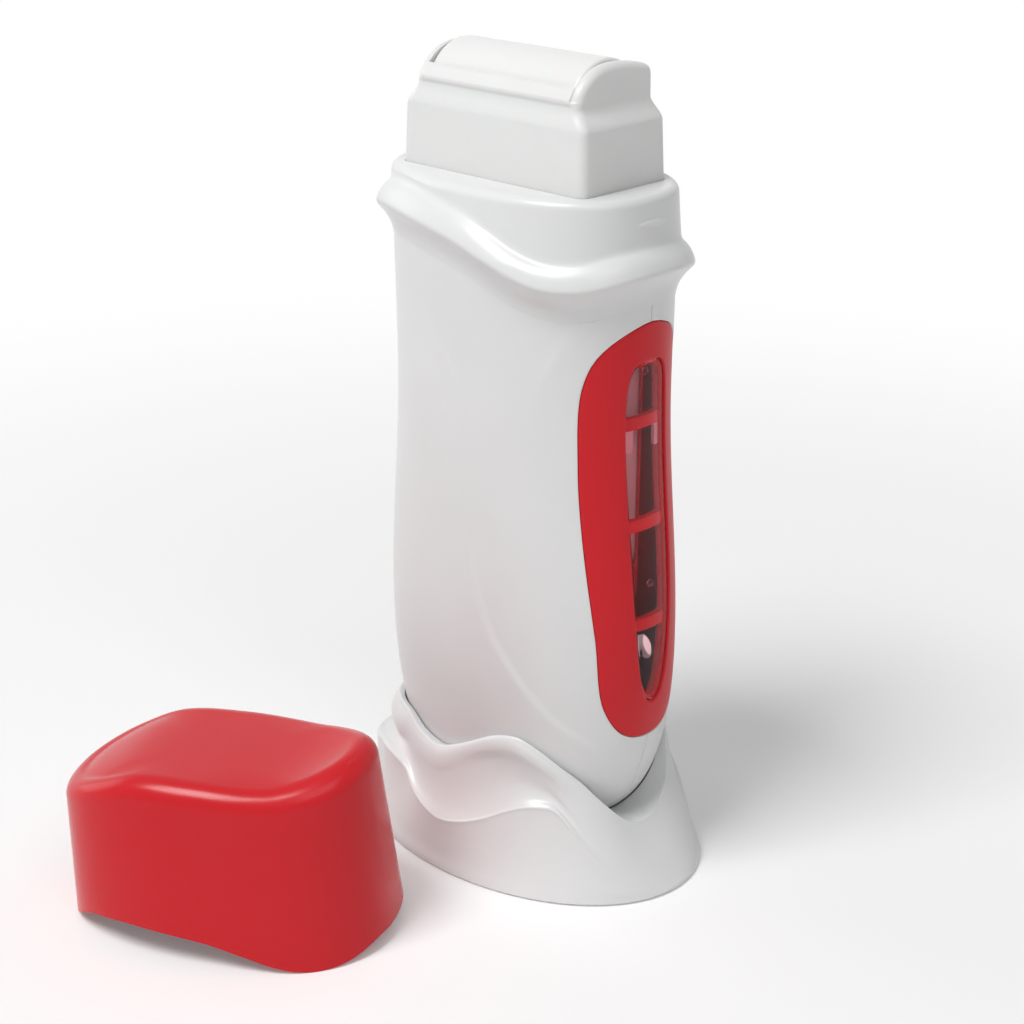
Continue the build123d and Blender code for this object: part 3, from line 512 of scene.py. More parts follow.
def casing_x(y, z, inset=0.0):
    """X of the casing's narrow side at a place seen from +X."""
    half_width, half_depth = casing_size(z)
    share = np.clip(np.abs(y) / (half_depth - inset), 0, 0.999)
    return (half_width - inset) * (1 - share ** casing_fullness) ** (1 / casing_fullness)


def side_outline(shape, half_width, bottom, height, grow, count=240):
    """Closed outline on the narrow side as (y, z) rows, through smooth quarter curves."""
    keys = np.array(shape, float)
    right = np.column_stack([keys[:, 0] * half_width, bottom + keys[:, 1] * height])
    closed = np.concatenate([right, right[-2:0:-1] * (-1, 1)])
    ring = periodic_curve(closed, count)
    if grow:
        ahead = np.roll(ring, -1, axis=0) - np.roll(ring, 1, axis=0)
        ahead /= np.linalg.norm(ahead, axis=1)[:, None]
        normal = np.column_stack([-ahead[:, 1], ahead[:, 0]])
        centre = ring.mean(axis=0)
        if ((ring - centre) * normal).sum() < 0:
            normal = -normal
        ring = ring + normal * grow
    return ring


def spline_span(points, gaps, shares):
    """Points of the smooth curve between the second and third of four points, with the three gaps."""
    (p0, p1, p2, p3), (before, here, after) = points, gaps
    m1 = ((p1 - p0) / before - (p2 - p0) / (before + here) + (p2 - p1) / here) * here
    m2 = ((p2 - p1) / here - (p3 - p1) / (here + after) + (p3 - p2) / after) * here
    return [(2 * t ** 3 - 3 * t * t + 1) * p1 + (t ** 3 - 2 * t * t + t) * m1
            + (3 * t * t - 2 * t ** 3) * p2 + (t ** 3 - t * t) * m2 for t in shares]


def periodic_curve(points, count):
    """Smooth closed curve through points, resampled evenly."""
    total = len(points)
    gaps = np.linalg.norm(np.roll(points, -1, axis=0) - points, axis=1) ** 0.5
    dense = []
    for i in range(total):
        near = [points[(i + k) % total] for k in (-1, 0, 1, 2)]
        dense += spline_span(near, (gaps[i - 1], gaps[i], gaps[(i + 1) % total]),
                             np.linspace(0, 1, 40, endpoint=False))
    dense = np.array(dense)
    steps = np.linalg.norm(np.roll(dense, -1, axis=0) - dense, axis=1)
    along = np.concatenate([[0], np.cumsum(steps)])
    dense = np.concatenate([dense, dense[:1]])
    wanted = np.linspace(0, along[-1], count, endpoint=False)
    return np.column_stack([np.interp(wanted, along, dense[:, k]) for k in (0, 1)])


def smooth_rings(control, steps):
    """Rings on a smooth curve through control rings, column by column."""
    control = np.array(control)
    total = len(control)
    rings = [control[0]]
    gap = np.linalg.norm(np.diff(control, axis=0), axis=2) ** 0.5
    for i in range(total - 1):
        here = gap[i][:, None]
        p1, p2 = control[i], control[i + 1]
        p0 = control[i - 1] if i else p1 - (p2 - p1)
        p3 = control[i + 2] if i + 2 < total else p2 + (p2 - p1)
        before = gap[i - 1][:, None] if i else here
        after = gap[i + 1][:, None] if i + 2 < total else here
        rings += spline_span((p0, p1, p2, p3), (before, here, after), np.linspace(0, 1, steps + 1)[1:])
    return rings


def lens_shape():
    """Key points of the lens's right half, from its top to its bottom."""
    points = []
    for degrees in range(90, -91, -10):
        fullness = lens_top_fullness if degrees > 0 else lens_bottom_fullness
        reach = 1 - lens_widest if degrees > 0 else lens_widest
        turn = math.radians(abs(degrees))
        rise = math.copysign(reach * math.sin(turn) ** (2 / fullness), degrees)
        share = max(math.cos(turn), 0.0) ** (2 / fullness) if abs(degrees) < 90 else 0.0
        points.append((share, lens_widest + rise))
    return points


def frame_outline(grow=0.0):
    return side_outline(frame_shape, frame_half_width, frame_bottom, frame_height, grow)


def lens_outline(grow=0.0):
    return side_outline(lens_shape(), lens_half_width, lens_bottom, lens_height, grow)


def on_casing(outline, depth):
    """Outline of (y, z) rows laid on the casing at a depth below its surface."""
    y, z = outline[:, 0], outline[:, 1]
    return np.column_stack([casing_x(y, z, depth), y, z])


# ---- pieces ----
# The creases of the casing's broad faces: points as (x, z), raised side, height, decay and edge width.
creases = (
    ([(-14, 126.5), (-10.5, 123.1), (-3.3, 118.9), (-.5, 114.3), (3.7, 107.8), (7.6, 99.1), (10.2, 86.6),
      (11.2, 78)], -1, 0.24, 8.0, 0.8),
    ([(-8, 121), (-5.8, 113), (-2.8, 104.1), (0, 88.4), (2.9, 76.9), (5.7, 66.9), (9.7, 57.7), (12.2, 54.4),
      (17.8, 47.6), (24.1, 41.1), (30.1, 36), (33.1, 33.7), (36, 32.2)], -1, 0.40, 11.0, 0.8),
    ([(32.5, 133.6), (29.3, 132.5), (26.4, 130.1), (24.5, 127.1), (22.2, 122.1), (19.9, 117.7), (17, 111)],
     1, 0.34, 8.0, 0.9))


def crease(x, z, curve, side, height, decay, edge=1.0, fade=9.0):
    """Soft step along a curve on the broad face: full height at the curve, dying away on one side."""
    curve = np.array(curve, float)
    best = np.full(np.shape(x), 1e9)
    signed = np.zeros(np.shape(x))
    along = np.zeros(np.shape(x))
    travelled = 0.0
    for a, b in zip(curve[:-1], curve[1:]):
        run = b - a
        length = np.linalg.norm(run)
        t = np.clip(((x - a[0]) * run[0] + (z - a[1]) * run[1]) / length ** 2, 0, 1)
        dx, dz = x - (a[0] + t * run[0]), z - (a[1] + t * run[1])
        distance = np.hypot(dx, dz)
        nearer = distance < best
        best = np.where(nearer, distance, best)
        signed = np.where(nearer, np.sign(run[0] * dz - run[1] * dx) * distance, signed)
        along = np.where(nearer, travelled + t * length, along)
        travelled += length
    signed = signed * side
    ends = smooth_share(np.clip(along / fade, 0, 1) * np.clip((travelled - along) / fade, 0, 1))
    step = 1 / (1 + np.exp(-signed / (edge / 3)))
    return height * ends * step * np.exp(-np.maximum(signed, 0) / decay)


def make_half_shell(name, node, side):
    """One half of the casing as a closed thin shell, with rounded seam edges."""
    edge = seam_round
    inner_angles = np.linspace(0, np.pi, 150)[6:-6]
    levels = casing_bottom + (100 - casing_bottom) * np.linspace(0, 1, 130) ** 1.35
    blend_rows = np.linspace(0, 1, 46)[1:]
    tucks = [(0.05, 0.06), (2.0, 0.12)]
    margin = [(seam_gap / 2 + edge * low, edge * high) for low, high in edge_steps(5)]
    margin += [(seam_gap / 2 + edge + more, 0.0) for more in (0.5, 1.6)]
    columns = [("edge", 1, *place) for place in margin] + [("turn", 0, a, 0.0) for a in inner_angles]
    columns += [("edge", -1, *place) for place in margin[::-1]]

    def surface(inset):
        rows = []
        for row in range(len(levels) + len(blend_rows) + len(tucks)):
            points = []
            tuck = max(row - len(levels) - len(blend_rows) + 1, 0)
            for kind, right, value, dip in columns:
                depth = inset + dip + (tucks[tuck - 1][1] if tuck else 0)
                if row < len(levels):
                    z = levels[row]
                else:
                    near = math.cos(value) if kind == "turn" else right
                    share = math.copysign(abs(near) ** (2 / casing_fullness), near)
                    top = float(joint_line(share * shoulder[1])) - 0.02
                    blend_row = blend_rows[min(row - len(levels), len(blend_rows) - 1)]
                    z = levels[-1] + (top - levels[-1]) * blend_row
                    z += tucks[tuck - 1][0] if tuck else 0
                half_width, half_depth = (float(v) - depth for v in casing_size(z))
                if kind == "turn":
                    c, s = math.cos(value), math.sin(value)
                    x = half_width * math.copysign(abs(c) ** (2 / casing_fullness), c)
                    y = half_depth * abs(s) ** (2 / casing_fullness)
                else:
                    y = min(value, half_depth)
                    share = max(1 - (y / half_depth) ** casing_fullness, 0)
                    x = right * half_width * share ** (1 / casing_fullness)
                points.append((x, side * y, z))
            rows.append(points)
        return np.array(rows)

    outer = surface(0.0)
    x, z = outer[:, :, 0], outer[:, :, 2]
    relief = sum(crease(x, z, *line) for line in creases)
    depth_share = np.clip(np.abs(outer[:, :, 1]) / 22.0, 0, 1) ** 0.5
    outer[:, :, 1] += side * relief * depth_share
    inner = surface(casing_wall)[::-1]
    rows = np.concatenate([outer, inner])
    total, count = rows.shape[:2]
    faces = grid_faces(total, count, ring=False, loop=True)
    for column in (0, count - 1):
        faces.extend((r * count + column, (r + 1) * count + column, (total - 2 - r) * count + column,
                      (total - 1 - r) * count + column) for r in range(total // 2 - 1))
    piece = make_object(name, rows.reshape(-1, 3), faces, "casing_white", "handpiece")
    width, depth = socket_half
    cutters = [window_cutter(), box_cutter((-width, -depth, 0), (width, depth, socket_top))]
    if side > 0:
        cutters += [round_cutter(12.5, 30.0, screw_radius, (across, 0, height), (0, 1, 0))
                    for across, height in screw_places]
    cut(piece, cutters)
    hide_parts(node)


def window_cutter():
    """Plug that opens the casing for the window frame, flared at the surface to round the opening's edge."""
    flare = 0.3
    rings = [on_casing(frame_outline(seam_gap + flare + 0.5), -0.7)]
    rings.insert(0, rings[0] * (0, 1, 1) + (60, 0, 0))
    for low, high in edge_steps(5):
        rings.append(on_casing(frame_outline(seam_gap + flare * high), flare * low))
    rings.append(rings[-1] * (0, 1, 1) + (12, 0, 0))
    return ring_object("cutter", rings, caps=True)


def make_collar():
    """Neck with the wavy bead, its flat ledge and the deck round the cartridge."""
    count = 320
    angles = turn_angles(count)
    bead = [(-collar_undercut, 0.0), (-5.7, 0.14), (-4.3, 0.45), (-3.0, 1.02), (-1.9, 1.75), (-1.0, 2.5),
            (-0.45, 2.95), (0.0, 3.15), (0.5, 3.15), (1.3, 2.86), (2.2, 2.42), (3.0, 1.92), (3.7, 1.35),
            (4.2, 0.85), (4.6, 0.45), (5.1, 0.17), (5.7, 0.04), (6.4, 0.0)]
    bead = np.array(bead)
    travel = np.concatenate([[0], np.cumsum(np.hypot(*np.diff(bead, axis=0).T))])
    dense = np.linspace(0, travel[-1], 64)
    rises = wave(dense, np.column_stack([travel, bead[:, 0]]))
    outs = wave(dense, np.column_stack([travel, bead[:, 1]]))
    rings = []

    def crest_at(fullness):
        return collar_crest(oval_shares(fullness, angles)[0])

    for rise, out in zip(rises, outs):
        t = (rise + collar_undercut) / (ledge_rise + collar_undercut)
        fullness = casing_fullness + (neck_fullness - casing_fullness) * min(t, 1.0)
        rings.append(oval(neck_size, fullness, crest_at(fullness) + rise, angles, out))
    foot = crest_at(neck_fullness) + rises[-1]
    head = neck_top - neck_edge_radius
    for t in np.linspace(0, 1, 30)[1:]:
        rings.append(oval(neck_size, neck_fullness, foot + (head - foot) * t, angles))
    for a in arc_steps(9)[1:]:
        inset = neck_edge_radius * (1 - math.cos(a))
        rings.append(oval(neck_size, neck_fullness, head + neck_edge_radius * math.sin(a), angles, -inset))
    rings = [snap_bump(r) for r in rings]
    outer_top = rings[-1]
    width, depth = mouth_half
    mouth = (size + mouth_edge for size in (width, depth, mouth_corner))
    hole = align(bar_ring(*mouth, neck_top), outer_top)
    for t in (0.25, 0.5, 0.75, 0.9):
        rings.append(outer_top + (hole - outer_top) * t)
    for low, high in edge_steps(4):
        size = mouth_edge * high
        ring = bar_ring(width + size, depth + size, mouth_corner, neck_top - mouth_edge * low)
        rings.append(align(ring, outer_top))
    rings.append(align(bar_ring(width, depth, mouth_corner, neck_top - neck_deck), outer_top))
    for z in (neck_top - neck_deck, 145.0):
        rings.append(oval(neck_size, neck_fullness, z, angles, -neck_wall))
    low = crest_at(casing_fullness) - collar_undercut
    rings.append(oval(neck_size, casing_fullness, low + 2.5, angles, -neck_wall))
    rings.append(oval(neck_size, casing_fullness, low, angles, -casing_wall))
    piece = ring_object("neck_collar_shell", rings, "casing_white", "handpiece", loop=True)
    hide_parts("neck_collar")


def snap_bump(ring):
    """Pushes the ring's points out where the cap's snap bump stands on the narrow side."""
    ring = ring.copy()
    away = [((ring[:, k + 1] - snap_centre[k]) / snap_size[k]) ** 2 for k in (0, 1)]
    reach = 1 - away[0] - away[1]
    lift = snap_size[2] * np.sqrt(np.clip(reach, 0, 1)) * (ring[:, 0] > 25)
    ring[:, 0] += lift
    return ring


def align(ring, guide):
    """Resamples a closed ring so that its points lie at the same turn as the guide's points."""
    turns = np.arctan2(ring[:, 1], ring[:, 0])
    order = np.argsort(turns)
    turns, ring = turns[order], ring[order]
    turns = np.concatenate([[turns[-1] - 2 * np.pi], turns, [turns[0] + 2 * np.pi]])
    ring = np.concatenate([ring[-1:], ring, ring[:1]])
    wanted = np.arctan2(guide[:, 1], guide[:, 0])
    return np.column_stack([np.interp(wanted, turns, ring[:, k]) for k in range(3)])


def make_window_frame():
    """Frame flush with the casing, with rounded edges, a recessed ledge for the lens and three ribs."""
    edge = frame_edge
    rings = [on_casing(frame_outline(0.0), 1.5)]
    for low, high in edge_steps(6):
        rings.append(on_casing(frame_outline(-edge * low), edge * high))
    outer, inner = frame_outline(-edge), lens_outline(seam_gap + 0.5)
    for t in np.linspace(0, 1, 16)[1:-1]:
        rings.append(on_casing(outer + (inner - outer) * t, 0.0))
    for low, high in edge_steps(6, 90, 0):
        rings.append(on_casing(lens_outline(seam_gap + 0.5 * low), 0.5 * high))
    back = lens_depth + lens_thickness
    rings += [on_casing(lens_outline(grow), depth)
              for grow, depth in ((seam_gap, back), (-lens_ledge, back), (-lens_ledge, frame_back),
                                  (1.0, frame_back), (1.0, 1.5))]
    piece = ring_object("window_frame_red", rings, "frame_red", "handpiece", loop=True)
    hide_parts("window_frame")
    for k in range(3):
        low = rib_bottom + rib_pitch * k
        make_rib("window_rib_%d" % (k + 1), low, low + rib_height)


def make_rib(name, low, high):
    """Cross rib behind the lens, following the casing's curve."""
    points, faces = [], []
    rows, columns = 5, 9
    for depth in (1.62, frame_back):
        for z in np.linspace(low, high, rows):
            half = np.interp(z, *half_width_at()) - lens_ledge + 0.3
            for y in np.linspace(-half, half, columns):
                points.append((float(casing_x(y, z, depth)), y, z))
    size = rows * columns
    for layer in (0, 1):
        faces += [tuple(layer * size + i for i in f) for f in grid_faces(rows, columns, ring=False)]
    rim = list(range(0, size, columns)) + list(range(size - columns + 1, size))
    rim += list(range(size - columns - 1, 0, -columns)) + list(range(columns - 2, 0, -1))
    for a, b in zip(rim, rim[1:] + rim[:1]):
        faces.append((a, b, size + b, size + a))
    make_object(name, points, faces, "frame_red", "handpiece")


def half_width_at():
    """Heights and half widths of the lens opening."""
    keys = np.array(lens_shape())[::-1]
    return lens_bottom + keys[:, 1] * lens_height, keys[:, 0] * lens_half_width


def make_lens():
    """Clear lens with rounded edges, its two tabs and its two moulding marks."""
    edge, back_edge = lens_edge, 0.15
    rings = []
    base = lens_outline(0.0)
    spine = base * (0, 1)
    inner = lens_outline(-edge)
    for t in np.linspace(0.04, 1, 10)[:-1]:
        rings.append(on_casing(spine + (inner - spine) * t, lens_depth))
    for low, high in edge_steps(5, 90, 0):
        rings.append(on_casing(lens_outline(-edge * low), lens_depth + edge * high))
    back = lens_depth + lens_thickness
    for low, high in edge_steps(4):
        rings.append(on_casing(lens_outline(-back_edge * low), back - back_edge * high))
    for t in np.linspace(0.04, 1, 6)[:-1][::-1]:
        rings.append(on_casing(spine + (lens_outline(-back_edge) - spine) * t, back))
    points = np.concatenate(rings)
    count = len(base)
    faces = grid_faces(len(rings), count)
    for start in (0, (len(rings) - 1) * count):
        for c in range(count // 2):
            corners = (c, c + 1, count - c - 1, (count - c) % count)
            quad = tuple(dict.fromkeys(start + corner for corner in corners))
            if len(quad) > 2:
                faces.append(quad)
    piece = make_object("window_lens_clear", points, faces, "lens_clear", "handpiece")
    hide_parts("window_lens")
    for side in (-1, 1):
        make_lens_tab(side)
    for number, z in enumerate(gate_heights):
        x = float(casing_x(0.0, z, back))
        disc = lathe_rings([(-0.3, 0.75), (-0.2, 0.85), (0.0, 0.85)], (x, 0.0, z), (1, 0, 0), 32)
        ring_object("lens_gate_%d" % (number + 1), disc, "lens_clear", "handpiece", caps=True)


def make_lens_tab(side):
    """Tab of the lens that clips behind the frame."""
    points = [(float(casing_x(y, z, depth)), side * y, z) for depth in tab_depths for y, z in tab_shape]
    faces = [tuple(range(6)), tuple(range(6, 12))]
    faces += [(k, (k + 1) % 6, 6 + (k + 1) % 6, 6 + k) for k in range(6)]
    name = "lens_tab_left" if side < 0 else "lens_tab_right"
    make_object(name, points, faces, "lens_clear", "handpiece", "tab_clear")


def make_cartridge():
    """White cartridge tub up to the shoulder where the head starts."""
    rings = []
    width, depth = cartridge_half
    edge = cartridge_edge
    for low, high in edge_steps(6):
        inset = edge * high
        rings.append(bar_ring(width - inset, depth - inset, cartridge_corner - inset * 0.5,
                              cartridge_bottom + edge * low))
    for z in np.linspace(cartridge_bottom + edge, cartridge_straight, 20)[1:]:
        rings.append(bar_ring(width, depth, cartridge_corner, z))
    for t in np.linspace(0, 1, 8)[1:]:
        lean = cartridge_taper * t
        z = cartridge_straight + (cartridge_top - cartridge_straight) * t
        rings.append(bar_ring(width - lean, depth - lean, cartridge_corner, z))
    lean = cartridge_taper
    for z in (cartridge_top, cartridge_bottom + edge):
        rings.append(bar_ring(width - lean - edge, depth - lean - edge, cartridge_corner - edge, z))
    piece = ring_object("cartridge_tub", rings, "cartridge_white", "cartridge", caps=True)
    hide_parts("cartridge_body")


def make_head():
    """Shoulders, lips and domed cheeks in one soft moulded form, cut out for the roller."""
    top = cartridge_top
    width, depth = (size - cartridge_taper for size in cartridge_half)
    corner = cartridge_corner
    rings = [bar_ring(width, depth, corner, top - 4), bar_ring(width, depth, corner, top - 0.4)]
    for t in np.linspace(0, 1, 13)[1:]:
        half_width, half_depth = (float(blend(a, b, t)) for a, b in zip((width, depth), head_half))
        rings.append(bar_ring(half_width, half_depth, corner, top - 0.4 + (head_shoulder + 0.4) * t))
    rings.append(bar_ring(*head_half, corner, top + head_ridge - 0.3))
    body = ring_object("cartridge_head_shell", rings, "head_white", caps=True)
    inside = roller_half_length + roller_gap
    proud = head_half[1] + 0.3
    right = [(head_half[1], top + head_ridge - 1.2), (proud, top + head_ridge - 0.5),
             (proud, top + head_ridge + 0.1), (lip_half_depth + 0.9, top + lip_height - 0.5),
             (lip_half_depth, top + lip_height)]
    left = [(-y, z) for y, z in reversed(right)]
    lip = left[-1:] + right + left[:-1]
    adds = [bar_along_x(lip, -inside - 0.3, inside + 0.3), make_cheek(-1), make_cheek(1)]
    cut(body, adds, operation="UNION")
    bore = round_cutter(-inside, inside, roller_radius + roller_gap, (0, 0, roller_axis), (1, 0, 0), 96)
    reach = lip_half_depth
    slot = bar_along_x([(-reach, roller_axis), (reach, roller_axis), (reach, roller_axis + 30),
                        (-reach, roller_axis + 30)], -inside, inside)
    cut(body, [bore, slot])
    soften(body, head_voxel, head_passes)
    trim_below(body, top)
    body.data.materials.clear()
    body.data.materials.append(materials["head_white"])
    finish_shading(body, head_sharp_angle)
    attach(body, "cartridge")
    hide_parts("cartridge_head")


def make_cheek(side):
    """Cheek with an arched front, a squarer back and a rounded outer edge."""
    base = cartridge_top + head_shoulder
    keys = np.array(cheek_shape)
    order = np.arange(len(keys))
    steps = np.linspace(0, len(keys) - 1, 76)
    outline = np.column_stack([wave(steps, np.column_stack([order, keys[:, k]])) for k in (0, 1)])
    ahead = np.roll(outline, -1, axis=0) - np.roll(outline, 1, axis=0)
    ahead[0], ahead[-1] = outline[1] - outline[0], outline[-1] - outline[-2]
    normal = np.column_stack([-ahead[:, 1], ahead[:, 0]]) / np.linalg.norm(ahead, axis=1)[:, None]
    rings = []
    places = [(roller_half_length + roller_gap, 0.0)]
    places += [(head_half[0] - cheek_edge * high, cheek_edge * low) for low, high in edge_steps(8)]
    for x, inset in places:
        ring = outline - normal * inset
        rings.append(np.column_stack([np.full(len(ring), side * x), ring[:, 0], base + ring[:, 1]]))
    return ring_object("cutter", rings, "head_white", caps=True)


def soften(piece, voxel, passes):
    """Melts joined solids into one skin with soft edges."""
    melt = piece.modifiers.new("melt", "REMESH")
    melt.mode = "VOXEL"
    melt.voxel_size = voxel * MM
    smooth = piece.modifiers.new("smooth", "SMOOTH")
    smooth.factor = 0.5
    smooth.iterations = passes
    bpy.context.view_layer.update()
    apply_modifiers(piece)


def trim_below(piece, height):
    """Cuts off what lies below a height and closes each loop of the cut by itself."""
    mesh = bmesh.new()
    mesh.from_mesh(piece.data)
    whole = mesh.verts[:] + mesh.edges[:] + mesh.faces[:]
    bmesh.ops.bisect_plane(mesh, geom=whole, plane_co=(0, 0, height * MM), plane_no=(0, 0, 1),
                           clear_inner=True)
    rim = [edge for edge in mesh.edges if edge.is_boundary]
    bmesh.ops.edgeloop_fill(mesh, edges=rim)
    mesh.to_mesh(piece.data)
    mesh.free()


def bar_along_x(profile, low, high):
    """Straight closed bar along X on a (y, z) profile."""
    count = len(profile)
    points = [(x, y, z) for x in (low, high) for y, z in profile]
    faces = [tuple(range(count)), tuple(count + k for k in range(count))]
    faces += [(k, (k + 1) % count, count + (k + 1) % count, count + k) for k in range(count)]
    return make_object("cutter", points, faces)


def make_roller():
    """Roller with rounded ends."""
    edge = roller_edge
    profile = [(-roller_half_length, radius) for radius in (roller_bore, 4, 7)]
    for low, high in edge_steps(6):
        profile.append((-roller_half_length + edge * low, roller_radius - edge * high))
    for x in np.linspace(-roller_half_length + 2, roller_half_length - 2, 12):
        profile.append((x, roller_radius))
    profile += [(-along, radius) for along, radius in profile[8::-1]]
    rings = lathe_rings(profile, (0, 0, roller_axis), (1, 0, 0), 160)
    piece = ring_object("applicator_roller", rings, "roller_white", "roller", caps=True)
    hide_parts("roller")


def make_stand():
    """Stand shell: flared skirt, wavy ridge and lip, rolled rim and the cradle inside."""
    count = 360
    angles = turn_angles(count)
    rim_share = oval_shares(stand_fullness, angles)[0]
    rim = rim_low + wave(rim_share, rim_shape)
    ridge = ridge_low + wave(rim_share, ridge_shape)
    edge = stand_edge

    notch = smooth_share((rim_share - 0.66) / 0.28)
    flare = smooth_share((-rim_share - 0.35) / 0.3)
    foot = np.array([np.full(count, half - 0.3) for half in base_half])

    def rolled(reach, mix, z):
        """Size that stands out from the handpiece and goes a share of the way to a wider skirt."""
        sizes = []
        for near, far in zip(casing_size(z), stand_size(z)):
            far = near + (far - near) * mix
            near = near + reach
            sizes.append((near + far + np.hypot(near - far, 1.0)) / 2)
        return np.array(sizes)

    crest_z = rim + 0.4
    crest = rolled(rim_reach - 1.4, 0.7, crest_z)
    wide = 2.0 * flare
    drop = 1 + 0.4 * flare
    rim_rows = [(0.04, crest_z, 0.5, rim_reach - 0.5 + 0.15 * wide, 0.85),
                (0.10, rim, 1.2, rim_reach + 0.1 + 0.4 * wide, 0.95),
                (0.20, rim, 2.6, rim_reach + 0.35 + 0.8 * wide, 0.97),
                (0.31, rim, 4.0, rim_reach + 0.05 + 1.1 * wide, 0.95),
                (0.42, rim, 5.6, rim_reach - 0.55 + wide, 0.9)]
    rows = [(share, start - fall * drop, rolled(reach, mix, start - fall))
            for share, start, fall, reach, mix in rim_rows]
    gap = rim - 5.6 * drop - ridge
    skirt_rows = [(0.54, ridge + 0.55 * gap, -0.8 + 0.7 * flare),
                  (0.63, ridge + 0.22 * gap, -0.45 + 1.5 * flare),
                  (0.69, ridge + 0.5, 0.3 + 2.2 * flare),
                  (0.72, ridge, 0.62 + 2.3 * flare),
                  (0.75, ridge - 0.7, 0.4 + 2.25 * flare),
                  (0.84, edge + 0.55 * (ridge - edge), -0.25 + 1.3 * flare),
                  (0.93, edge + 0.2 * (ridge - edge), 0.5 * flare)]
    rows += [(share, z, np.array(stand_size(z)) + outset) for share, z, outset in skirt_rows]
    control = [oval(casing_size, casing_fullness, rim - 0.3, angles, cradle_gap),
               oval(lambda z: tuple(crest), casing_fullness, crest_z, angles)]
    for share, z, size in rows:
        straight = crest + (foot - crest) * share
        level = crest_z + (edge - crest_z) * share
        size = size + (straight - size) * notch
        z = z + (level - z) * notch
        control.append(oval(lambda height, size=size: tuple(size), stand_fullness, z, angles))
    control.append(oval(lambda z: base_half, base_fullness, edge, angles, -0.2))
    rings = [oval(lambda z: base_half, base_fullness, z, angles, -inset)
             for z, inset in ((0.0, 0.9), (0.25, 0.35), (0.7, 0.03))]
    rings += smooth_rings(control[::-1], 6)
    inner_low = cradle_floor
    top = rings[-1][:, 2]
    for t in np.linspace(0, 1, 26)[1:]:
        z = top + (inner_low - top) * t ** 0.8
        rings.append(oval(lambda h: casing_size(h + cradle_gap), casing_fullness, z, angles, cradle_gap))
    hole = align(bar_ring(*contact_half, 0.6, inner_low), rings[-1])
    rings.append(hole)
    rings.append(hole - (0, 0, 3.0))
    rings += [oval(stand_size, stand_fullness, z, angles, -inset)
              for z, inset in ((5.4, 12.0), (8.0, stand_wall + 2.2), (2.0, stand_wall), (0.0, stand_wall))]
    piece = ring_object("docking_stand", rings, "stand_white", "stand", loop=True)
    cut(piece, [round_cutter(10, 40, gland_radius, (0, 10, gland_height), (0, 1, 0))])
    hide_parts("stand_shell")


def rotate(points, degrees, first, second):
    """Points turned in the plane of two axes."""
    turn = math.radians(degrees)
    turned = points.copy()
    turned[:, first] = points[:, first] * math.cos(turn) - points[:, second] * math.sin(turn)
    turned[:, second] = points[:, first] * math.sin(turn) + points[:, second] * math.cos(turn)
    return turned


def make_cap():
    """Cap with the wavy edge, drafted walls and a wavy roof with a rounded edge, standing on the floor."""
    count = 320
    angles = turn_angles(count)
    across, along = oval_shares(cap_fullness, angles)

    def ring(z, inset):
        t = (z - ledge_low) / cap_draft_height
        halves = [low - (low - high) * t - inset for low, high in zip(cap_half, cap_top_half)]
        return np.stack([halves[0] * across, halves[1] * along, np.broadcast_to(z, across.shape)], axis=-1)

    def roof_height(share, drop):
        return ledge_low + cap_roof_rise + wave(share, cap_roof_shape) - drop

    def shell(inset, drop, radius, bottom):
        roof = roof_height(across, drop)
        rings = []
        for t in np.linspace(0, 1, 40):
            rings.append(ring(bottom + (roof - radius - bottom) * t, inset))
        for low, high in edge_steps(14)[1:]:
            rings.append(ring(roof - radius * high, inset + radius * low))
        edge = rings[-1]
        for t in np.linspace(1, 0, 26)[1:-1]:
            inner = edge * (t, t, 1)
            inner[:, 2] = roof_height(inner[:, 0] / cap_half[0], drop)
            inner[:, 2] += (edge[:, 2] - roof_height(edge[:, 0] / cap_half[0], drop)) * t ** 6
            rings.append(inner)
        return rings

    edge_line = ledge_low + 0.1 + collar_depth * wave(across * 1.04, collar_shape)
    outer = shell(0.0, 0.0, cap_edge_radius, edge_line)
    inner = shell(cap_wall, cap_roof, cap_edge_radius - cap_wall, edge_line)
    rings = outer[::-1] + inner
    points = np.concatenate(rings) - (0, 0, ledge_low)
    points = rotate(points, cap_settle, 2, 0)
    points[:, 2] -= points[:, 2].min()
    points = rotate(points, cap_turn, 0, 1) + (*cap_place, 0)
    piece = ring_object("red_cap", points.reshape(len(rings), count, 3), "cap_red", "cap", caps=True)
    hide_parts("cap")


make_half_shell("casing_front", "front_shell", -1)
make_half_shell("casing_rear", "rear_shell", 1)
make_collar()
make_window_frame()
make_lens()
make_cartridge()
make_head()
make_roller()
make_stand()
make_cap()

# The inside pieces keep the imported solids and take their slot's material.
for entry in frame["record"]["subparts"]:
    node = frame["nodes"][entry["node"]]
    node.data.materials.clear()
    node.data.materials.append(materials[entry["material_slot"]])
    node.data.polygons.foreach_set("use_smooth", [True] * len(node.data.polygons))


# ---- stage ----
floor_mesh = bpy.data.meshes.new("floor")
floor_mesh.from_pydata([(-3, -3, 0), (3, -3, 0), (3, 3, 0), (-3, 3, 0)], [], [(0, 1, 2, 3)])
floor = bpy.data.objects.new("floor", floor_mesh)
bpy.context.scene.collection.objects.link(floor)


def shown_rays(tree):
    """One for rays that show the background: from the camera, off a gloss or through something clear."""
    path = add_node(tree, "LightPath").outputs
    total = path["Is Camera Ray"]
    for name in ("Is Glossy Ray", "Is Transmission Ray"):
        either = add_node(tree, "Math")
        either.operation = "MAXIMUM"
        feed(tree, either, {}, {0: total, 1: path[name]})
        total = either.outputs[0]
    return total


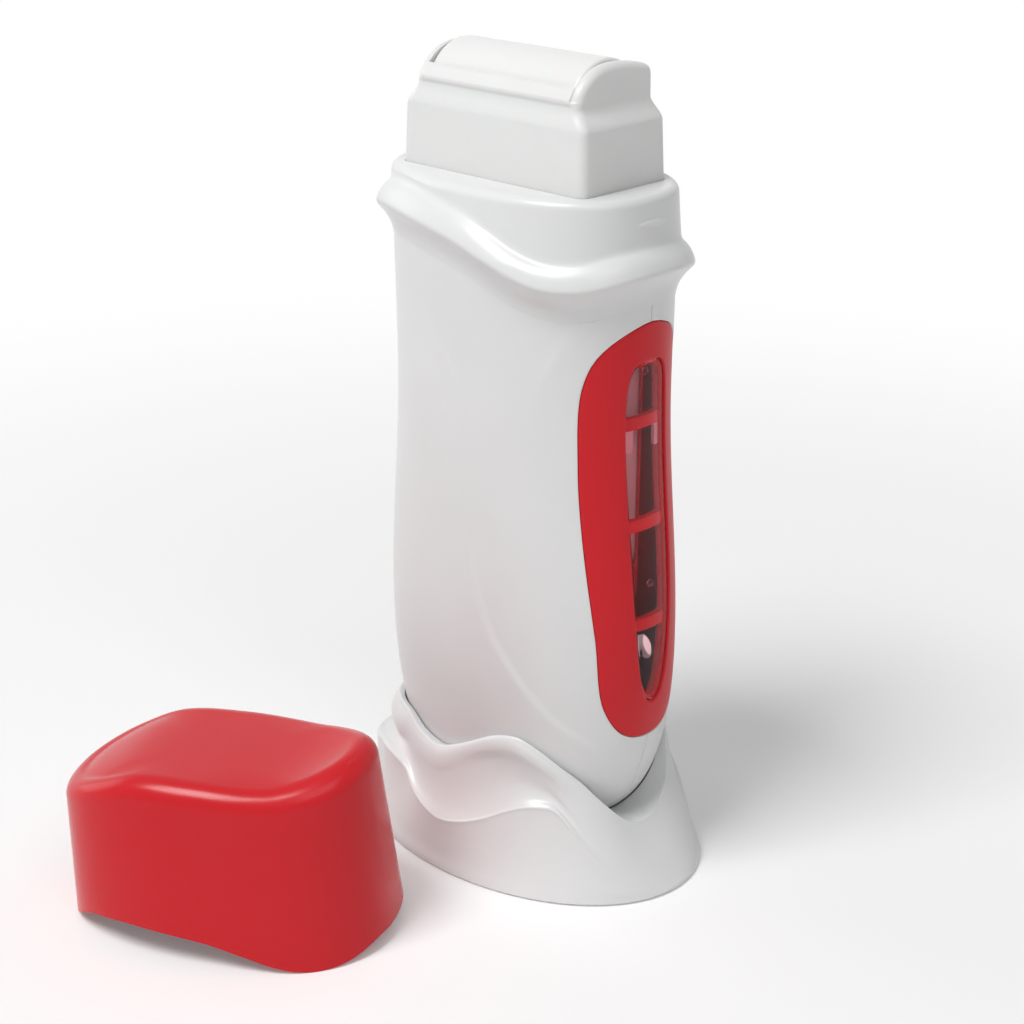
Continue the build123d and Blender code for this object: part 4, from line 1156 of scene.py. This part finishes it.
def floor_white():
    """Pale floor that keeps the object's shadow near it and is plain white further off."""
    material, tree, shader = new_material("floor_white")
    feed(tree, shader, {"Base Color": (0.97, 0.97, 0.97, 1), "Roughness": 0.8, "Specular IOR Level": 0.1}, {})
    away = add_node(tree, "VectorMath", {1: (0.0, -0.03, 0.0)},
                    {0: add_node(tree, "NewGeometry").outputs["Position"]})
    away.operation = "DISTANCE"
    share = add_node(tree, "MapRange", {"From Min": floor_near, "From Max": floor_far, "To Min": floor_lift},
                     {"Value": away.outputs["Value"]})
    share.interpolation_type = "SMOOTHSTEP"
    factor = add_node(tree, "Math", sources={0: share.outputs["Result"], 1: shown_rays(tree)})
    factor.operation = "MULTIPLY"
    plain = add_node(tree, "Emission", {"Strength": 1.0})
    both = add_node(tree, "MixShader", sources={"Fac": factor.outputs[0], 1: shader.outputs["BSDF"],
                                                2: plain.outputs["Emission"]})
    feed(tree, tree.nodes["Material Output"], {}, {"Surface": both.outputs["Shader"]})
    return material


floor_mesh.materials.append(floor_white())

world = bpy.data.worlds.new("studio")
bpy.context.scene.world = world
world.use_nodes = True
tree = world.node_tree
level = add_node(tree, "MapRange", {"To Min": world_light, "To Max": 1.0}, {"Value": shown_rays(tree)})
feed(tree, tree.nodes["Background"], {"Color": (1, 1, 1, 1)}, {"Strength": level.outputs["Result"]})


def area_light(name, place, size, power):
    """Square lamp that points at the object's middle."""
    lamp = bpy.data.lights.new(name, "AREA")
    lamp.energy = power
    lamp.shape = "RECTANGLE"
    lamp.size = size
    lamp.size_y = size
    holder = bpy.data.objects.new(name, lamp)
    holder.location = place
    holder.rotation_euler = (Vector(lamp_target) - Vector(place)).to_track_quat("-Z", "Y").to_euler()
    bpy.context.scene.collection.objects.link(holder)


for lamp_row in lamps:
    area_light(*lamp_row)

camera_data = bpy.data.cameras.new("camera")
camera = bpy.data.objects.new("camera", camera_data)
bpy.context.scene.collection.objects.link(camera)
camera.location = camera_place
camera.rotation_euler = [math.radians(degrees) for degrees in camera_degrees]
camera_data.lens = camera_lens
camera_data.sensor_width = 36
camera_data.clip_start = 0.01
bpy.context.scene.camera = camera
bpy.context.scene.view_settings.view_transform = "Standard"
